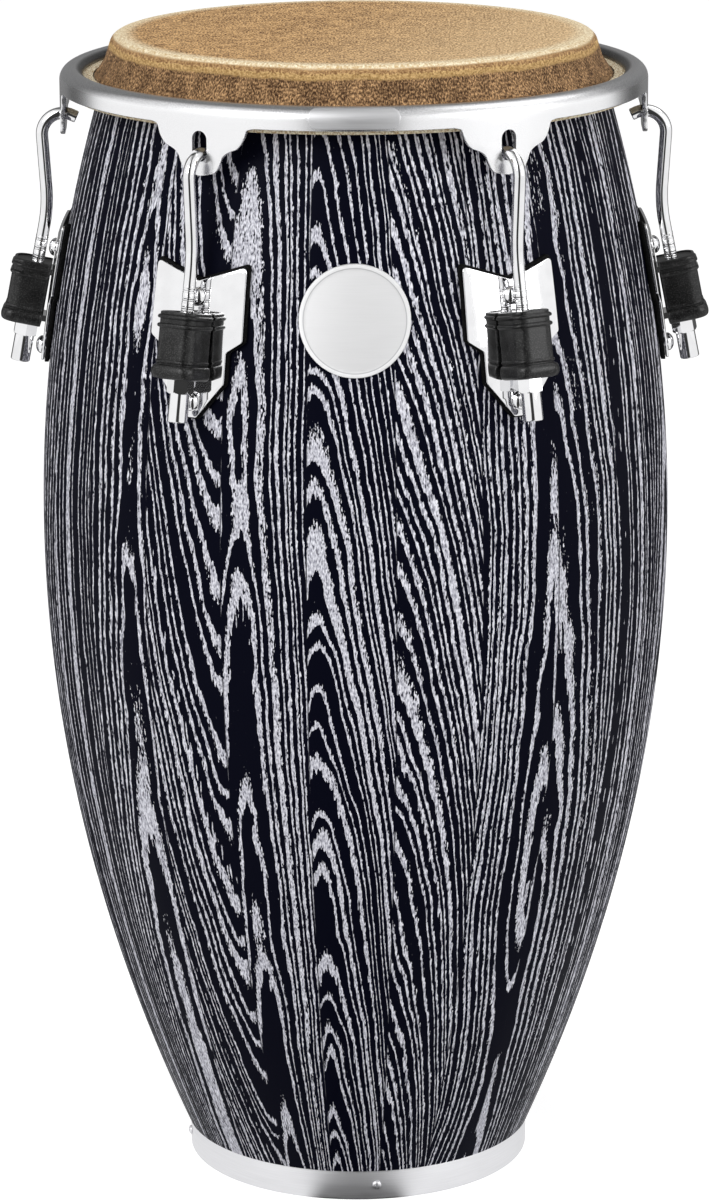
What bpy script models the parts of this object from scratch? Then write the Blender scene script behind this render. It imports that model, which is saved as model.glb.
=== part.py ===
"""Conga: a tall barrel-shaped hand drum, in metres, +Z up.

The origin is the centre of the foot ring's underside, on the floor. The drum's front, with the
round badge plate, faces -Y. Azimuths are measured round +Z from the front, positive towards +X.
"""

import math

import bmesh
import bpy
from mathutils import Matrix, Vector

# Clearances between pieces
GAP = 0.0003
ROD_CLEARANCE = 0.0004
WASHER_GAP = 0.0008

# Wooden shell of glued staves: the outer radius falls with the square of the height from the belly
HEAD_HEIGHT = 0.762
BELLY_HEIGHT = 0.440
BELLY_RADIUS = 0.2065
SHELL_TAPER = 0.515
SHELL_WALL = 0.011
BEARING_EDGE_RADIUS = 0.005
INNER_EDGE_RADIUS = 0.003

# Steel ring round the foot
FOOT_RING_RADIUS = 0.1146
FOOT_RING_HEIGHT = 0.0204
FOOT_RING_SHEET = 0.0015
FOOT_FLANGE_WIDTH = 0.010
FOOT_SCREW_COUNT = 4
FOOT_SCREW_AZIMUTH = 6.0
FOOT_SCREW_HEIGHT = 0.0105
FOOT_SCREW_LENGTH = 0.009
FOOT_SCREW_RADIUS = 0.0014
FOOT_SCREW_HEAD_RADIUS = 0.0031
FOOT_SCREW_HEAD_HEIGHT = 0.0017

# Head: a thick hide, tucked round a steel flesh hoop
HIDE = 0.0022
HIDE_WALL_DROP = 0.017
HOOP_DROP = 0.0264
HOOP_HEIGHT = 0.0068
HOOP_WIDTH = 0.0120
HOOP_PLAY = 0.0050
TUCK_SLIT = 0.0011

# Rim: pressed steel, rolled over the flesh hoop, with an ear for each hook
RIM_SHEET = 0.003
RIM_BEND_RADIUS = 0.008
RIM_LIP_SWEEP = 60.0
RIM_PLAY = 0.0036
SKIRT_DEPTH = 0.0064
EAR_STEPS = (
    (0.0370, 0.0000),
    (0.0325, 0.0016),
    (0.0300, 0.0080),
    (0.0262, 0.0128),
    (0.0195, 0.0158),
    (0.0158, 0.0192),
    (0.0138, 0.0240),
    (0.0100, 0.0290),
    (0.0000, 0.0312),
)
SLOT_WIDTH = 0.0104
SLOT_HEIGHT = 0.0193
SLOT_FLOOR_DROP = 0.0223

# Tuning lugs: hook, nut, bracket plate, gasket, boot and two bolts each
LUG_COUNT = 6
FIRST_LUG_AZIMUTH = 30.0
LUG_DROP = 0.134
ROD_RADIUS = 0.004
ROD_LEAN = 11.3
ROD_STANDOFF = 0.0110
HOOK_BEND_RADIUS = 0.0138
HOOK_SWEEP = 115.0
HOOK_TAIL = 0.0035
HOOK_SEAT_GAP = 0.0008
LEG_LEAN = 3.5
KNEE_RADIUS = 0.100
ROD_END_INSET = 0.004

NUT_ACROSS_FLATS = 0.0145
NUT_HEX_HEIGHT = 0.012
NUT_BARREL_RADIUS = 0.00635
NUT_BARREL_LENGTH = 0.0177
NUT_CHAMFER = 0.0008

BRACKET_HALF_WIDTH = 0.0092
BRACKET_HALF_HEIGHT = 0.0175
BRACKET_SHEET = 0.004
BRACKET_REACH = 0.0074

BOOT_WALL = 0.0036
BOOT_END = 0.0032
BOOT_BACK_GAP = 0.0009
BOOT_CORNER = 0.008
BOOT_RIB = 0.0012
BOOT_RIB_COUNT = 2
BOOT_RIB_PITCH = 0.0054
BOOT_RIB_DROP = 0.0036
BOOT_FLANGE = 0.0022
BOOT_FLANGE_HEIGHT = 0.009

GASKET_SHEET = 0.0030
GASKET_MARGIN = 0.0013
PLATE_SHEET = 0.0020
PLATE_CORNER = 0.003
PLATE_HALF_OUTLINE = (
    (0.0000, 0.0380),
    (0.0315, 0.0485),
    (0.0325, 0.0025),
    (0.0223, -0.0045),
    (0.0220, -0.0240),
    (0.0045, -0.0460),
)

BOLT_RADIUS = 0.003
BOLT_HEAD_RADIUS = 0.006
BOLT_HEAD_HEIGHT = 0.0042
UPPER_BOLT_RISE = 0.0275
LOWER_BOLT_DROP = 0.0370
WASHER_RADIUS = 0.0080
WASHER_SHEET = 0.0012
INNER_NUT_RADIUS = 0.0055
INNER_NUT_HEIGHT = 0.005

# Plain badge plate on the shell and plain label plate on the rim, both at the front
BADGE_RADIUS = 0.0347
BADGE_SHEET = 0.0012
BADGE_DROP = 0.152
LABEL_WIDTH = 0.057
LABEL_HEIGHT = 0.0140
LABEL_RISE = 0.0012
LABEL_SHEET = 0.0008

# Facets
RING_STEPS = 48
ROD_SIDES = 8
BOLT_SIDES = 8
NUT_SIDES = 12

# Heights and radii that follow from the sizes above
SHELL_FOOT = FOOT_RING_SHEET + GAP
SHELL_TOP = HEAD_HEIGHT - HIDE - GAP
SPIGOT_RADIUS = FOOT_RING_RADIUS - FOOT_RING_SHEET - GAP
SPIGOT_TOP = FOOT_RING_HEIGHT + GAP
TUCK_TOP = HEAD_HEIGHT - HOOP_DROP
HOOP_TOP = TUCK_TOP - HIDE - GAP
HOOP_FOOT = HOOP_TOP - HOOP_HEIGHT
TUCK_FOOT = HOOP_FOOT - HIDE - GAP
RIM_INNER_BEND = RIM_BEND_RADIUS - RIM_SHEET
RIM_BEND_HEIGHT = TUCK_TOP + GAP - RIM_INNER_BEND * math.cos(math.radians(RIM_LIP_SWEEP))
SKIRT_EDGE = RIM_BEND_HEIGHT - SKIRT_DEPTH
LUG_HEIGHT = SKIRT_EDGE - LUG_DROP
PLATE_STACK = GAP + GASKET_SHEET + GAP
ROD_LEAN_ANGLE = math.radians(ROD_LEAN)


def shell_radius(z):
    """Outer radius of the shell at height z."""
    return BELLY_RADIUS - SHELL_TAPER * (z - BELLY_HEIGHT) ** 2


def shell_slope(z):
    """Radius that the shell's outer face gains per metre of height at z."""
    return -2.0 * SHELL_TAPER * (z - BELLY_HEIGHT)


HOOP_INNER = shell_radius(HOOP_FOOT) + HOOP_PLAY
HOOP_OUTER = HOOP_INNER + HOOP_WIDTH
TUCK_OUTER = HOOP_OUTER + GAP + HIDE
SKIRT_INNER = TUCK_OUTER + RIM_PLAY
SKIRT_OUTER = SKIRT_INNER + RIM_SHEET
RIM_BEND_CENTRE = SKIRT_OUTER - RIM_BEND_RADIUS
ROD_RADIUS_AT_LUG = shell_radius(LUG_HEIGHT) + PLATE_STACK + PLATE_SHEET + ROD_STANDOFF


def material(name, colour, roughness, metallic=0.0):
    """A plain Principled material."""
    made = bpy.data.materials.get(name)
    if made:
        return made
    made = bpy.data.materials.new(name)
    made.use_nodes = True
    shader = made.node_tree.nodes["Principled BSDF"]
    shader.inputs["Base Color"].default_value = (*colour, 1.0)
    shader.inputs["Roughness"].default_value = roughness
    shader.inputs["Metallic"].default_value = metallic
    return made


def stained_ash():
    return material("stained_ash", (0.03, 0.03, 0.05), 0.45)


def hide():
    return material("hide", (0.62, 0.45, 0.25), 0.7)


def chrome():
    return material("chrome", (0.86, 0.87, 0.88), 0.08, 1.0)


def plain_steel():
    return material("plain_steel", (0.55, 0.55, 0.56), 0.35, 1.0)


def rubber():
    return material("rubber", (0.02, 0.02, 0.02), 0.6)


def add_object(name, mesh_builder, finish):
    """A named object from a finished bmesh, with outward faces and smooth round sides."""
    bmesh.ops.recalc_face_normals(mesh_builder, faces=mesh_builder.faces)
    mesh = bpy.data.meshes.new(name)
    mesh_builder.to_mesh(mesh)
    mesh_builder.free()
    mesh.shade_smooth()
    mesh.set_sharp_from_angle(angle=math.radians(35))
    mesh.materials.append(finish)
    made = bpy.data.objects.new(name, mesh)
    bpy.context.scene.collection.objects.link(made)
    return made


def add_empty(name, place):
    made = bpy.data.objects.new(name, None)
    made.empty_display_size = 0.02
    made.matrix_world = place
    bpy.context.scene.collection.objects.link(made)
    return made


def cut(target, cutter):
    """Take a hidden cutter out of a piece."""
    cutter.hide_render = True
    cutter.display_type = "WIRE"
    step = target.modifiers.new("cut_" + cutter.name, "BOOLEAN")
    step.operation = "DIFFERENCE"
    step.solver = "EXACT"
    step.object = cutter


def arc(centre, radius, start, end, steps):
    """Points in a plane along an arc, from the start angle to the end angle in degrees."""
    angles = [math.radians(start + (end - start) * i / steps) for i in range(steps + 1)]
    return [(centre[0] + radius * math.cos(a), centre[1] + radius * math.sin(a)) for a in angles]


def dome(radius, height, base):
    """Section of a domed head above its base, from the top on the axis down to its edge."""
    curve = [math.radians(angle) for angle in (50.0, 12.0)]
    return [(0.0, base + height)] + [(radius * math.cos(a), base + height * math.sin(a)) for a in curve]


def on_drum(azimuth, radius, z):
    """The point at an azimuth in radians, a radius and a height."""
    return Vector((radius * math.sin(azimuth), -radius * math.cos(azimuth), z))


def join_loops(builder, loops, closed):
    """Faces between neighbouring loops of points, with the ends capped unless the row closes."""
    rows = [[builder.verts.new(point) for point in loop] for loop in loops]
    count = len(rows[0])
    pairs = list(zip(rows, rows[1:]))
    if closed:
        pairs.append((rows[-1], rows[0]))
    for near, far in pairs:
        for i in range(count):
            j = (i + 1) % count
            builder.faces.new((near[i], near[j], far[j], far[i]))
    if not closed:
        builder.faces.new(rows[0])
        builder.faces.new(list(reversed(rows[-1])))


def turned(name, section, finish, sides=RING_STEPS, place=None):
    """A closed section of (radius, height) points turned about the Z axis.

    Points on the axis become one point each, so a section may start and end there.
    """
    builder = bmesh.new()
    turns = [on_drum(math.tau * (i + 0.5) / sides, 1.0, 0.0) for i in range(sides)]
    rows = []
    for radius, height in section:
        if radius == 0.0:
            rows.append([builder.verts.new((0.0, 0.0, height))] * sides)
        else:
            rows.append([builder.verts.new(turn * radius + Vector((0, 0, height))) for turn in turns])
    for near, far in zip(rows, rows[1:] + rows[:1]):
        for i in range(sides):
            j = (i + 1) % sides
            corners = list(dict.fromkeys((near[i], near[j], far[j], far[i])))
            if len(corners) > 2:
                builder.faces.new(corners)
    made = add_object(name, builder, finish)
    if place:
        made.matrix_world = place
    return made


def rounded(outline, radius, steps=1):
    """An outline with each corner rounded, as far as its sides allow."""
    points = []
    count = len(outline)
    for i in range(count):
        corner = Vector(outline[i])
        before = Vector(outline[i - 1]) - corner
        after = Vector(outline[(i + 1) % count]) - corner
        half = before.angle(after) / 2.0
        reach = min(radius / math.tan(half), before.length * 0.45, after.length * 0.45)
        start = corner + before.normalized() * reach
        end = corner + after.normalized() * reach
        for k in range(steps + 1):
            share = k / steps
            pull = 2.0 * share * (1.0 - share)
            points.append(start * (1 - share) ** 2 + corner * pull + end * share ** 2)
    return [tuple(point) for point in points]


def grown(outline, margin):
    """An anticlockwise outline moved outwards by a margin, with its corners kept."""
    points = []
    count = len(outline)
    for i in range(count):
        corner = Vector(outline[i])
        into = (corner - Vector(outline[i - 1])).normalized()
        out = (Vector(outline[(i + 1) % count]) - corner).normalized()
        normal = Vector((into.y, -into.x)) + Vector((out.y, -out.x))
        points.append(tuple(corner + normal * margin / (normal.length_squared / 2.0)))
    return points


def curved_sheet(name, outline, place_point, thickness, columns, rows, finish):
    """A sheet with an outline in (across, up), bent by place_point(across, up, depth)."""
    builder = bmesh.new()
    builder.faces.new([builder.verts.new((x, y, 0.0)) for x, y in outline])
    for normal, cuts in ((Vector((1, 0, 0)), columns), (Vector((0, 1, 0)), rows)):
        for distance in cuts:
            parts = builder.verts[:] + builder.edges[:] + builder.faces[:]
            spot = normal * distance
            bmesh.ops.bisect_plane(builder, geom=parts, dist=1e-6, plane_co=spot, plane_no=normal)
    bmesh.ops.solidify(builder, geom=builder.faces[:], thickness=thickness)
    depths = [vert.co.z for vert in builder.verts]
    floor = min(depths)
    for vert in builder.verts:
        vert.co = place_point(vert.co.x, vert.co.y, vert.co.z - floor)
    return add_object(name, builder, finish)


def even_cuts(low, high, count):
    """Evenly spaced cut positions strictly between two ends."""
    return [low + (high - low) * i / count for i in range(1, count)]


def frame_on_shell(azimuth, z):
    """A frame on the shell's outer face: X round the drum, Z straight out of the face."""
    angle = math.radians(azimuth)
    lean = math.atan(shell_slope(z))
    outward = on_drum(angle, math.cos(lean), -math.sin(lean))
    around = Vector((math.cos(angle), math.sin(angle), 0.0))
    up = outward.cross(around)
    turn = Matrix((around, up, outward)).transposed().to_4x4()
    return Matrix.Translation(on_drum(angle, shell_radius(z), z)) @ turn


def plain_cylinder(name, radius, low, high, place, sides=BOLT_SIDES):
    section = [(0.0, high), (radius, high), (radius, low), (0.0, low)]
    return turned(name, section, plain_steel(), sides, place)


def wall_heights(low, high):
    """Heights of the wall's facet edges from low to high, with edges level with the lug bolts."""
    bolts = [LUG_HEIGHT - LOWER_BOLT_DROP, LUG_HEIGHT, LUG_HEIGHT + UPPER_BOLT_RISE]
    return [low] + even_cuts(low, bolts[0], 8) + bolts + even_cuts(bolts[-1], high, 3) + [high]


def shell_section():
    """Section of the shell: down the outer face from the bearing edge, and up the inner face."""
    edge_height = SHELL_TOP - BEARING_EDGE_RADIUS
    lean = -math.degrees(math.atan(shell_slope(edge_height)))
    touch = edge_height + BEARING_EDGE_RADIUS * math.sin(math.radians(lean))
    edge_centre = shell_radius(touch) - BEARING_EDGE_RADIUS * math.cos(math.radians(lean))
    points = arc((edge_centre, edge_height), BEARING_EDGE_RADIUS, 90.0, lean, 3)
    for z in reversed(wall_heights(SPIGOT_TOP, touch)[:-1]):
        points.append((shell_radius(z), z))
    points.append((SPIGOT_RADIUS, SPIGOT_TOP))
    points.append((SPIGOT_RADIUS, SHELL_FOOT))
    for z in wall_heights(SHELL_FOOT, edge_height)[:-1]:
        points.append((shell_radius(z) - SHELL_WALL, z))
    inner_centre = shell_radius(edge_height) - SHELL_WALL + INNER_EDGE_RADIUS
    points += arc((inner_centre, SHELL_TOP - INNER_EDGE_RADIUS), INNER_EDGE_RADIUS, 180.0, 90.0, 2)
    return points, (edge_centre, edge_height), lean


def make_shell():
    return turned("shell", shell_section()[0], stained_ash())


def make_head():
    """The hide: flat head, rolled edge, wall, and the tuck round the hoop, as one folded section."""
    edge, lean = shell_section()[1:]
    wall_z = HEAD_HEIGHT - HIDE_WALL_DROP
    slant = math.cos(math.atan(shell_slope(wall_z)))
    inner_wall = shell_radius(wall_z) + GAP / slant
    outer_wall = inner_wall + HIDE / slant
    hoop_side = HOOP_INNER - GAP
    slit_edge = hoop_side + TUCK_SLIT
    roof = HOOP_TOP + GAP
    floor = HOOP_FOOT - GAP
    round_off = HIDE * 0.7
    wall_gain = (hoop_side - outer_wall) / (wall_z - roof)
    section = [(0.0, HEAD_HEIGHT)]
    section += arc(edge, BEARING_EDGE_RADIUS + GAP + HIDE, 90.0, lean, 3)
    section += [
        (outer_wall, wall_z),
        (hoop_side, roof),
        (hoop_side, floor),
        (HOOP_OUTER + GAP, floor),
        (HOOP_OUTER + GAP, roof),
        (slit_edge, roof),
        (slit_edge - wall_gain * HIDE, TUCK_TOP),
        (TUCK_OUTER - round_off, TUCK_TOP),
        (TUCK_OUTER, TUCK_TOP - round_off),
        (TUCK_OUTER, TUCK_FOOT + round_off),
        (TUCK_OUTER - round_off, TUCK_FOOT),
        (hoop_side - HIDE + round_off, TUCK_FOOT),
        (hoop_side - HIDE, TUCK_FOOT + round_off),
        (hoop_side - HIDE, roof),
        (inner_wall, wall_z),
    ]
    section += arc(edge, BEARING_EDGE_RADIUS + GAP, lean, 90.0, 3)
    section.append((0.0, HEAD_HEIGHT - HIDE))
    return turned("head_skin", section, hide())


def make_flesh_hoop():
    section = [
        (HOOP_INNER, HOOP_FOOT),
        (HOOP_INNER, HOOP_TOP),
        (HOOP_OUTER, HOOP_TOP),
        (HOOP_OUTER, HOOP_FOOT),
    ]
    return turned("flesh_hoop", section, plain_steel())


def ear_drop(distance):
    """How far the rim's lower edge hangs below the skirt, at a distance round it from an ear's middle."""
    for (far, high), (near, low) in zip(EAR_STEPS, EAR_STEPS[1:]):
        if near <= distance <= far:
            return high + (low - high) * (far - distance) / (far - near)
    return 0.0


def rim_column(drop):
    """Section of the rim where its lower edge hangs by drop: up the outer face, down the inner."""
    centre = (RIM_BEND_CENTRE, RIM_BEND_HEIGHT)
    lip = 90.0 + RIM_LIP_SWEEP
    outer = arc(centre, RIM_BEND_RADIUS, 0.0, lip, 4)
    inner = arc(centre, RIM_INNER_BEND, lip, 0.0, 3)
    low = SKIRT_EDGE - drop
    return [(SKIRT_OUTER, low)] + outer + inner + [(SKIRT_INNER, low)]


def rim_azimuths():
    """Azimuths of the rim's columns, in radians: at each step of an ear, and evenly between ears."""
    sector = math.tau / LUG_COUNT
    ear = [distance / SKIRT_OUTER for distance, drop in EAR_STEPS]
    offsets = [-angle for angle in ear] + list(reversed(ear[:-1]))
    plain = even_cuts(ear[0], sector - ear[0], 5)
    first = math.radians(FIRST_LUG_AZIMUTH)
    return [first + sector * i + angle for i in range(LUG_COUNT) for angle in offsets + plain]


def make_rim():
    """The rim and its slotted ears, from one section per azimuth."""
    sector = math.tau / LUG_COUNT
    first = math.radians(FIRST_LUG_AZIMUTH)
    loops = []
    for azimuth in rim_azimuths():
        off = (azimuth - first + sector / 2.0) % sector - sector / 2.0
        column = rim_column(ear_drop(abs(off) * SKIRT_OUTER))
        loops.append([on_drum(azimuth, radius, z) for radius, z in column])
    builder = bmesh.new()
    join_loops(builder, loops, closed=True)
    return add_object("rim", builder, chrome())


def slot_cutter(name, azimuth):
    """An upright slot with round ends, through an ear."""
    half = SLOT_WIDTH / 2.0
    low = SKIRT_EDGE - SLOT_FLOOR_DROP + half
    high = low + SLOT_HEIGHT - SLOT_WIDTH
    outline = arc((0.0, high), half, 0.0, 180.0, 8) + arc((0.0, low), half, 180.0, 360.0, 8)
    angle = math.radians(azimuth)
    around = Vector((math.cos(angle), math.sin(angle), 0.0))
    loops = []
    for radius in (SKIRT_INNER - RIM_SHEET, SKIRT_OUTER + RIM_SHEET):
        loops.append([on_drum(angle, radius, z) + around * x for x, z in outline])
    builder = bmesh.new()
    join_loops(builder, loops, closed=False)
    return add_object(name, builder, chrome())


def make_foot_ring():
    """A band round the foot with a flange turned in under the shell."""
    inner = FOOT_RING_RADIUS - FOOT_RING_SHEET
    section = [
        (FOOT_RING_RADIUS, FOOT_RING_HEIGHT),
        (FOOT_RING_RADIUS, 0.0),
        (FOOT_RING_RADIUS - FOOT_FLANGE_WIDTH, 0.0),
        (FOOT_RING_RADIUS - FOOT_FLANGE_WIDTH, FOOT_RING_SHEET),
        (inner, FOOT_RING_SHEET),
        (inner, FOOT_RING_HEIGHT),
    ]
    return turned("foot_ring", section, chrome())


def make_foot_screw(index, shell, ring):
    """A dome-headed screw through the foot ring into the shell, on a horizontal axis."""
    azimuth = FOOT_SCREW_AZIMUTH + index * 360.0 / FOOT_SCREW_COUNT
    angle = math.radians(azimuth)
    outward = on_drum(angle, 1.0, 0.0)
    around = Vector((math.cos(angle), math.sin(angle), 0.0))
    turn = Matrix((around, outward.cross(around), outward)).transposed().to_4x4()
    place = Matrix.Translation(on_drum(angle, FOOT_RING_RADIUS, FOOT_SCREW_HEIGHT)) @ turn
    tip = -FOOT_SCREW_LENGTH
    section = dome(FOOT_SCREW_HEAD_RADIUS, FOOT_SCREW_HEAD_HEIGHT, GAP) + [
        (FOOT_SCREW_HEAD_RADIUS, GAP),
        (FOOT_SCREW_RADIUS, GAP),
        (FOOT_SCREW_RADIUS, tip + FOOT_SCREW_RADIUS),
        (0.0, tip),
    ]
    made = turned("foot_screw_%d" % (index + 1), section, chrome(), BOLT_SIDES, place)
    bore = FOOT_SCREW_RADIUS + GAP
    cutter = plain_cylinder("foot_screw_bore_%d" % (index + 1), bore, tip - GAP, FOOT_RING_SHEET, place)
    cut(shell, cutter)
    cut(ring, cutter)
    return made


def plate_outline():
    """The bracket plate's whole outline, anticlockwise from the notch at the top."""
    right = list(PLATE_HALF_OUTLINE)
    left = [(-x, y) for x, y in right[1:]]
    return [right[0]] + left + list(reversed(right[1:]))


def sheet_on_shell(azimuth, height, offset):
    """A bend that lays a sheet on the shell, its back face at an offset from the shell."""
    angle = math.radians(azimuth)

    def place_point(across, up, depth):
        z = height + up
        radius = shell_radius(z) + offset + depth
        return on_drum(angle + across / shell_radius(z), radius, z)

    return place_point


def lug_frame(azimuth):
    """Frame on the rod's axis at the bracket: X round the drum, Y outwards, Z up the rod."""
    angle = math.radians(azimuth)
    outward = on_drum(angle, math.cos(ROD_LEAN_ANGLE), math.sin(ROD_LEAN_ANGLE))
    up = on_drum(angle, -math.sin(ROD_LEAN_ANGLE), math.cos(ROD_LEAN_ANGLE))
    around = outward.cross(up)
    turn = Matrix((around, outward, up)).transposed().to_4x4()
    return Matrix.Translation(on_drum(angle, ROD_RADIUS_AT_LUG, LUG_HEIGHT)) @ turn


def depth_to_plate(height, share):
    """Y in the lug frame where a line at a height along the rod meets the bracket plate.

    The share is 0 at the plate's back face and 1 at its front face.
    """
    depth = 0.0
    for _ in range(8):
        z = LUG_HEIGHT + depth * math.sin(ROD_LEAN_ANGLE) + height * math.cos(ROD_LEAN_ANGLE)
        radius = shell_radius(z) + PLATE_STACK + share * PLATE_SHEET
        reach = radius - ROD_RADIUS_AT_LUG + height * math.sin(ROD_LEAN_ANGLE)
        depth = reach / math.cos(ROD_LEAN_ANGLE)
    return depth


def prism(name, outline, low, high, finish, place):
    """An outline in the frame's YZ plane, extruded along its X axis."""
    builder = bmesh.new()
    loops = [[Vector((x, y, z)) for y, z in outline] for x in (low, high)]
    join_loops(builder, loops, closed=False)
    made = add_object(name, builder, finish)
    made.matrix_world = place
    return made


def make_side_plate(index, azimuth, frame):
    """The plate that follows the shell, with the folded bracket welded on for the rod."""
    outline = rounded(plate_outline(), PLATE_CORNER)
    bend = sheet_on_shell(azimuth, LUG_HEIGHT, PLATE_STACK)
    half = PLATE_HALF_OUTLINE[2][0]
    low = PLATE_HALF_OUTLINE[-1][1]
    columns = even_cuts(-half, half, 4)
    rows = even_cuts(low, PLATE_HALF_OUTLINE[1][1], 3)
    plate = curved_sheet("side_plate_%d" % index, outline, bend, PLATE_SHEET, columns, rows, chrome())
    top = BRACKET_HALF_HEIGHT
    inside = top - BRACKET_SHEET
    web = BRACKET_REACH + BRACKET_SHEET
    outline = [
        (depth_to_plate(top, 0.5), top),
        (web, top),
        (web, -top),
        (depth_to_plate(-top, 0.5), -top),
        (depth_to_plate(-inside, 0.5), -inside),
        (BRACKET_REACH, -inside),
        (BRACKET_REACH, inside),
        (depth_to_plate(inside, 0.5), inside),
    ]
    name = "bracket_%d" % index
    bracket = prism(name, outline, -BRACKET_HALF_WIDTH, BRACKET_HALF_WIDTH, chrome(), frame)
    bracket.hide_render = True
    bracket.display_type = "WIRE"
    weld = plate.modifiers.new("weld", "BOOLEAN")
    weld.operation = "UNION"
    weld.solver = "EXACT"
    weld.object = bracket
    bore = ROD_RADIUS + ROD_CLEARANCE
    cut(plate, plain_cylinder("rod_bore_%d" % index, bore, -top - GAP, top + GAP, frame))
    return plate


def make_gasket(index, azimuth):
    outline = rounded(grown(plate_outline(), GASKET_MARGIN), PLATE_CORNER)
    bend = sheet_on_shell(azimuth, LUG_HEIGHT, GAP)
    half = PLATE_HALF_OUTLINE[2][0]
    low = PLATE_HALF_OUTLINE[-1][1]
    columns = even_cuts(-half, half, 4)
    rows = even_cuts(low, PLATE_HALF_OUTLINE[1][1], 3)
    return curved_sheet("gasket_%d" % index, outline, bend, GASKET_SHEET, columns, rows, rubber())


def boot_loop(z, swell, back, front):
    """One rounded rectangular loop of the boot, at a height and swollen by a small amount."""
    half = BRACKET_HALF_WIDTH + GAP + BOOT_WALL + swell
    nose = front + swell
    points = [(-half, back), (half, back)]
    points += arc((half - BOOT_CORNER, nose - BOOT_CORNER), BOOT_CORNER, 0.0, 90.0, 2)
    points += arc((BOOT_CORNER - half, nose - BOOT_CORNER), BOOT_CORNER, 90.0, 180.0, 2)
    return [Vector((x, y, z)) for x, y in points]


def make_boot(index, frame):
    """The rubber boot over the bracket: ribs at the top, a flange at the foot, open at the back."""
    top = BRACKET_HALF_HEIGHT + GAP + BOOT_END
    back = max(depth_to_plate(z, 1.0) for z in (top, -top)) + BOOT_BACK_GAP
    front = BRACKET_REACH + BRACKET_SHEET + GAP + BOOT_WALL
    levels = [(top, 0.0)]
    for rib in range(BOOT_RIB_COUNT):
        crest = top - BOOT_RIB_DROP - BOOT_RIB_PITCH * rib
        levels += [(crest + 1.5 * BOOT_RIB, 0.0), (crest, BOOT_RIB), (crest - 1.5 * BOOT_RIB, 0.0)]
    flange_top = -top + BOOT_FLANGE_HEIGHT
    levels += [
        (flange_top, 0.0),
        (flange_top - BOOT_FLANGE, BOOT_FLANGE),
        (-top + BOOT_FLANGE, BOOT_FLANGE),
        (-top, 0.0),
    ]
    builder = bmesh.new()
    join_loops(builder, [boot_loop(z, swell, back, front) for z, swell in levels], closed=False)
    boot = add_object("boot_%d" % index, builder, rubber())
    boot.matrix_world = frame
    room = BRACKET_HALF_HEIGHT + GAP
    hollow = [
        (back - BOOT_WALL, room),
        (front - BOOT_WALL, room),
        (front - BOOT_WALL, -room),
        (back - BOOT_WALL, -room),
    ]
    half = BRACKET_HALF_WIDTH + GAP
    cut(boot, prism("boot_hollow_%d" % index, hollow, -half, half, rubber(), frame))
    bore = ROD_RADIUS + ROD_CLEARANCE
    cut(boot, plain_cylinder("boot_bore_%d" % index, bore, 0.0, top + BOOT_END, frame))
    nut_room = NUT_ACROSS_FLATS / 2.0 / math.cos(math.radians(30)) + ROD_CLEARANCE
    mouth_foot = -top - BOOT_END
    cut(boot, plain_cylinder("boot_mouth_%d" % index, nut_room, mouth_foot, 0.0, frame, NUT_SIDES))
    return boot


def hook_path():
    """The hook's centre line in the lug's plane, as (radius, height) points from its lower end up."""
    ear = (SKIRT_INNER + SKIRT_OUTER) / 2.0
    inner = HOOK_BEND_RADIUS - ROD_RADIUS
    seat = math.sqrt(inner ** 2 - (RIM_SHEET / 2.0) ** 2)
    centre = (ear, SKIRT_EDGE - SLOT_FLOOR_DROP + HOOK_SEAT_GAP - seat)
    leg_lean = math.radians(LEG_LEAN)
    leg_top = Vector(centre) + HOOK_BEND_RADIUS * Vector((math.cos(leg_lean), -math.sin(leg_lean)))
    leg = Vector((-math.sin(leg_lean), -math.cos(leg_lean)))
    rod = Vector((math.sin(ROD_LEAN_ANGLE), -math.cos(ROD_LEAN_ANGLE)))
    base = Vector((ROD_RADIUS_AT_LUG, LUG_HEIGHT))
    across = (base - leg_top).cross(rod) / leg.cross(rod)
    knee = leg_top + leg * across
    turn = (math.pi - (-leg).angle(rod)) / 2.0
    reach = KNEE_RADIUS * math.tan(turn)
    side = Vector((rod.y, -rod.x)) * -1.0
    bend_centre = knee + rod * reach + side * KNEE_RADIUS
    nut_foot = BRACKET_HALF_HEIGHT + GAP + NUT_HEX_HEIGHT + NUT_BARREL_LENGTH
    points = [base + rod * (nut_foot - ROD_END_INSET), base + rod * (BRACKET_HALF_HEIGHT / 2.0)]
    start = knee + rod * reach - bend_centre
    for i in range(5):
        spin = Matrix.Rotation(-2.0 * turn * i / 4, 2)
        points.append(bend_centre + spin @ start)
    for point in arc(centre, HOOK_BEND_RADIUS, -LEG_LEAN, HOOK_SWEEP, 8):
        points.append(Vector(point))
    tail = math.radians(HOOK_SWEEP + 90.0)
    points.append(points[-1] + HOOK_TAIL * Vector((math.cos(tail), math.sin(tail))))
    return points


def make_hook(index, azimuth, frame, pivot):
    """The tuning hook, a bent rod swept along its path, parented to an empty on its slide axis."""
    angle = math.radians(azimuth)
    path = hook_path()
    loops = []
    for i, point in enumerate(path):
        before = path[max(i - 1, 0)]
        after = path[min(i + 1, len(path) - 1)]
        tangents = [(point - before).normalized(), (after - point).normalized()]
        along = (tangents[0] + tangents[1]).normalized()
        normal = Vector((along.y, -along.x))
        stretch = 1.0 / max(along.dot(tangents[1]), along.dot(tangents[0]), 0.5)
        loop = []
        for k in range(ROD_SIDES):
            turn = math.tau * (k + 0.5) / ROD_SIDES
            offset = ROD_RADIUS * math.cos(turn) * stretch
            place = point + normal * offset
            around = Vector((math.cos(angle), math.sin(angle), 0.0)) * ROD_RADIUS * math.sin(turn)
            loop.append(on_drum(angle, place.x, place.y) + around)
        loops.append(loop)
    builder = bmesh.new()
    join_loops(builder, loops, closed=False)
    hook = add_object("hook_%d" % index, builder, chrome())
    hook.parent = pivot
    hook.matrix_parent_inverse = frame.inverted()
    return hook


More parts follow.
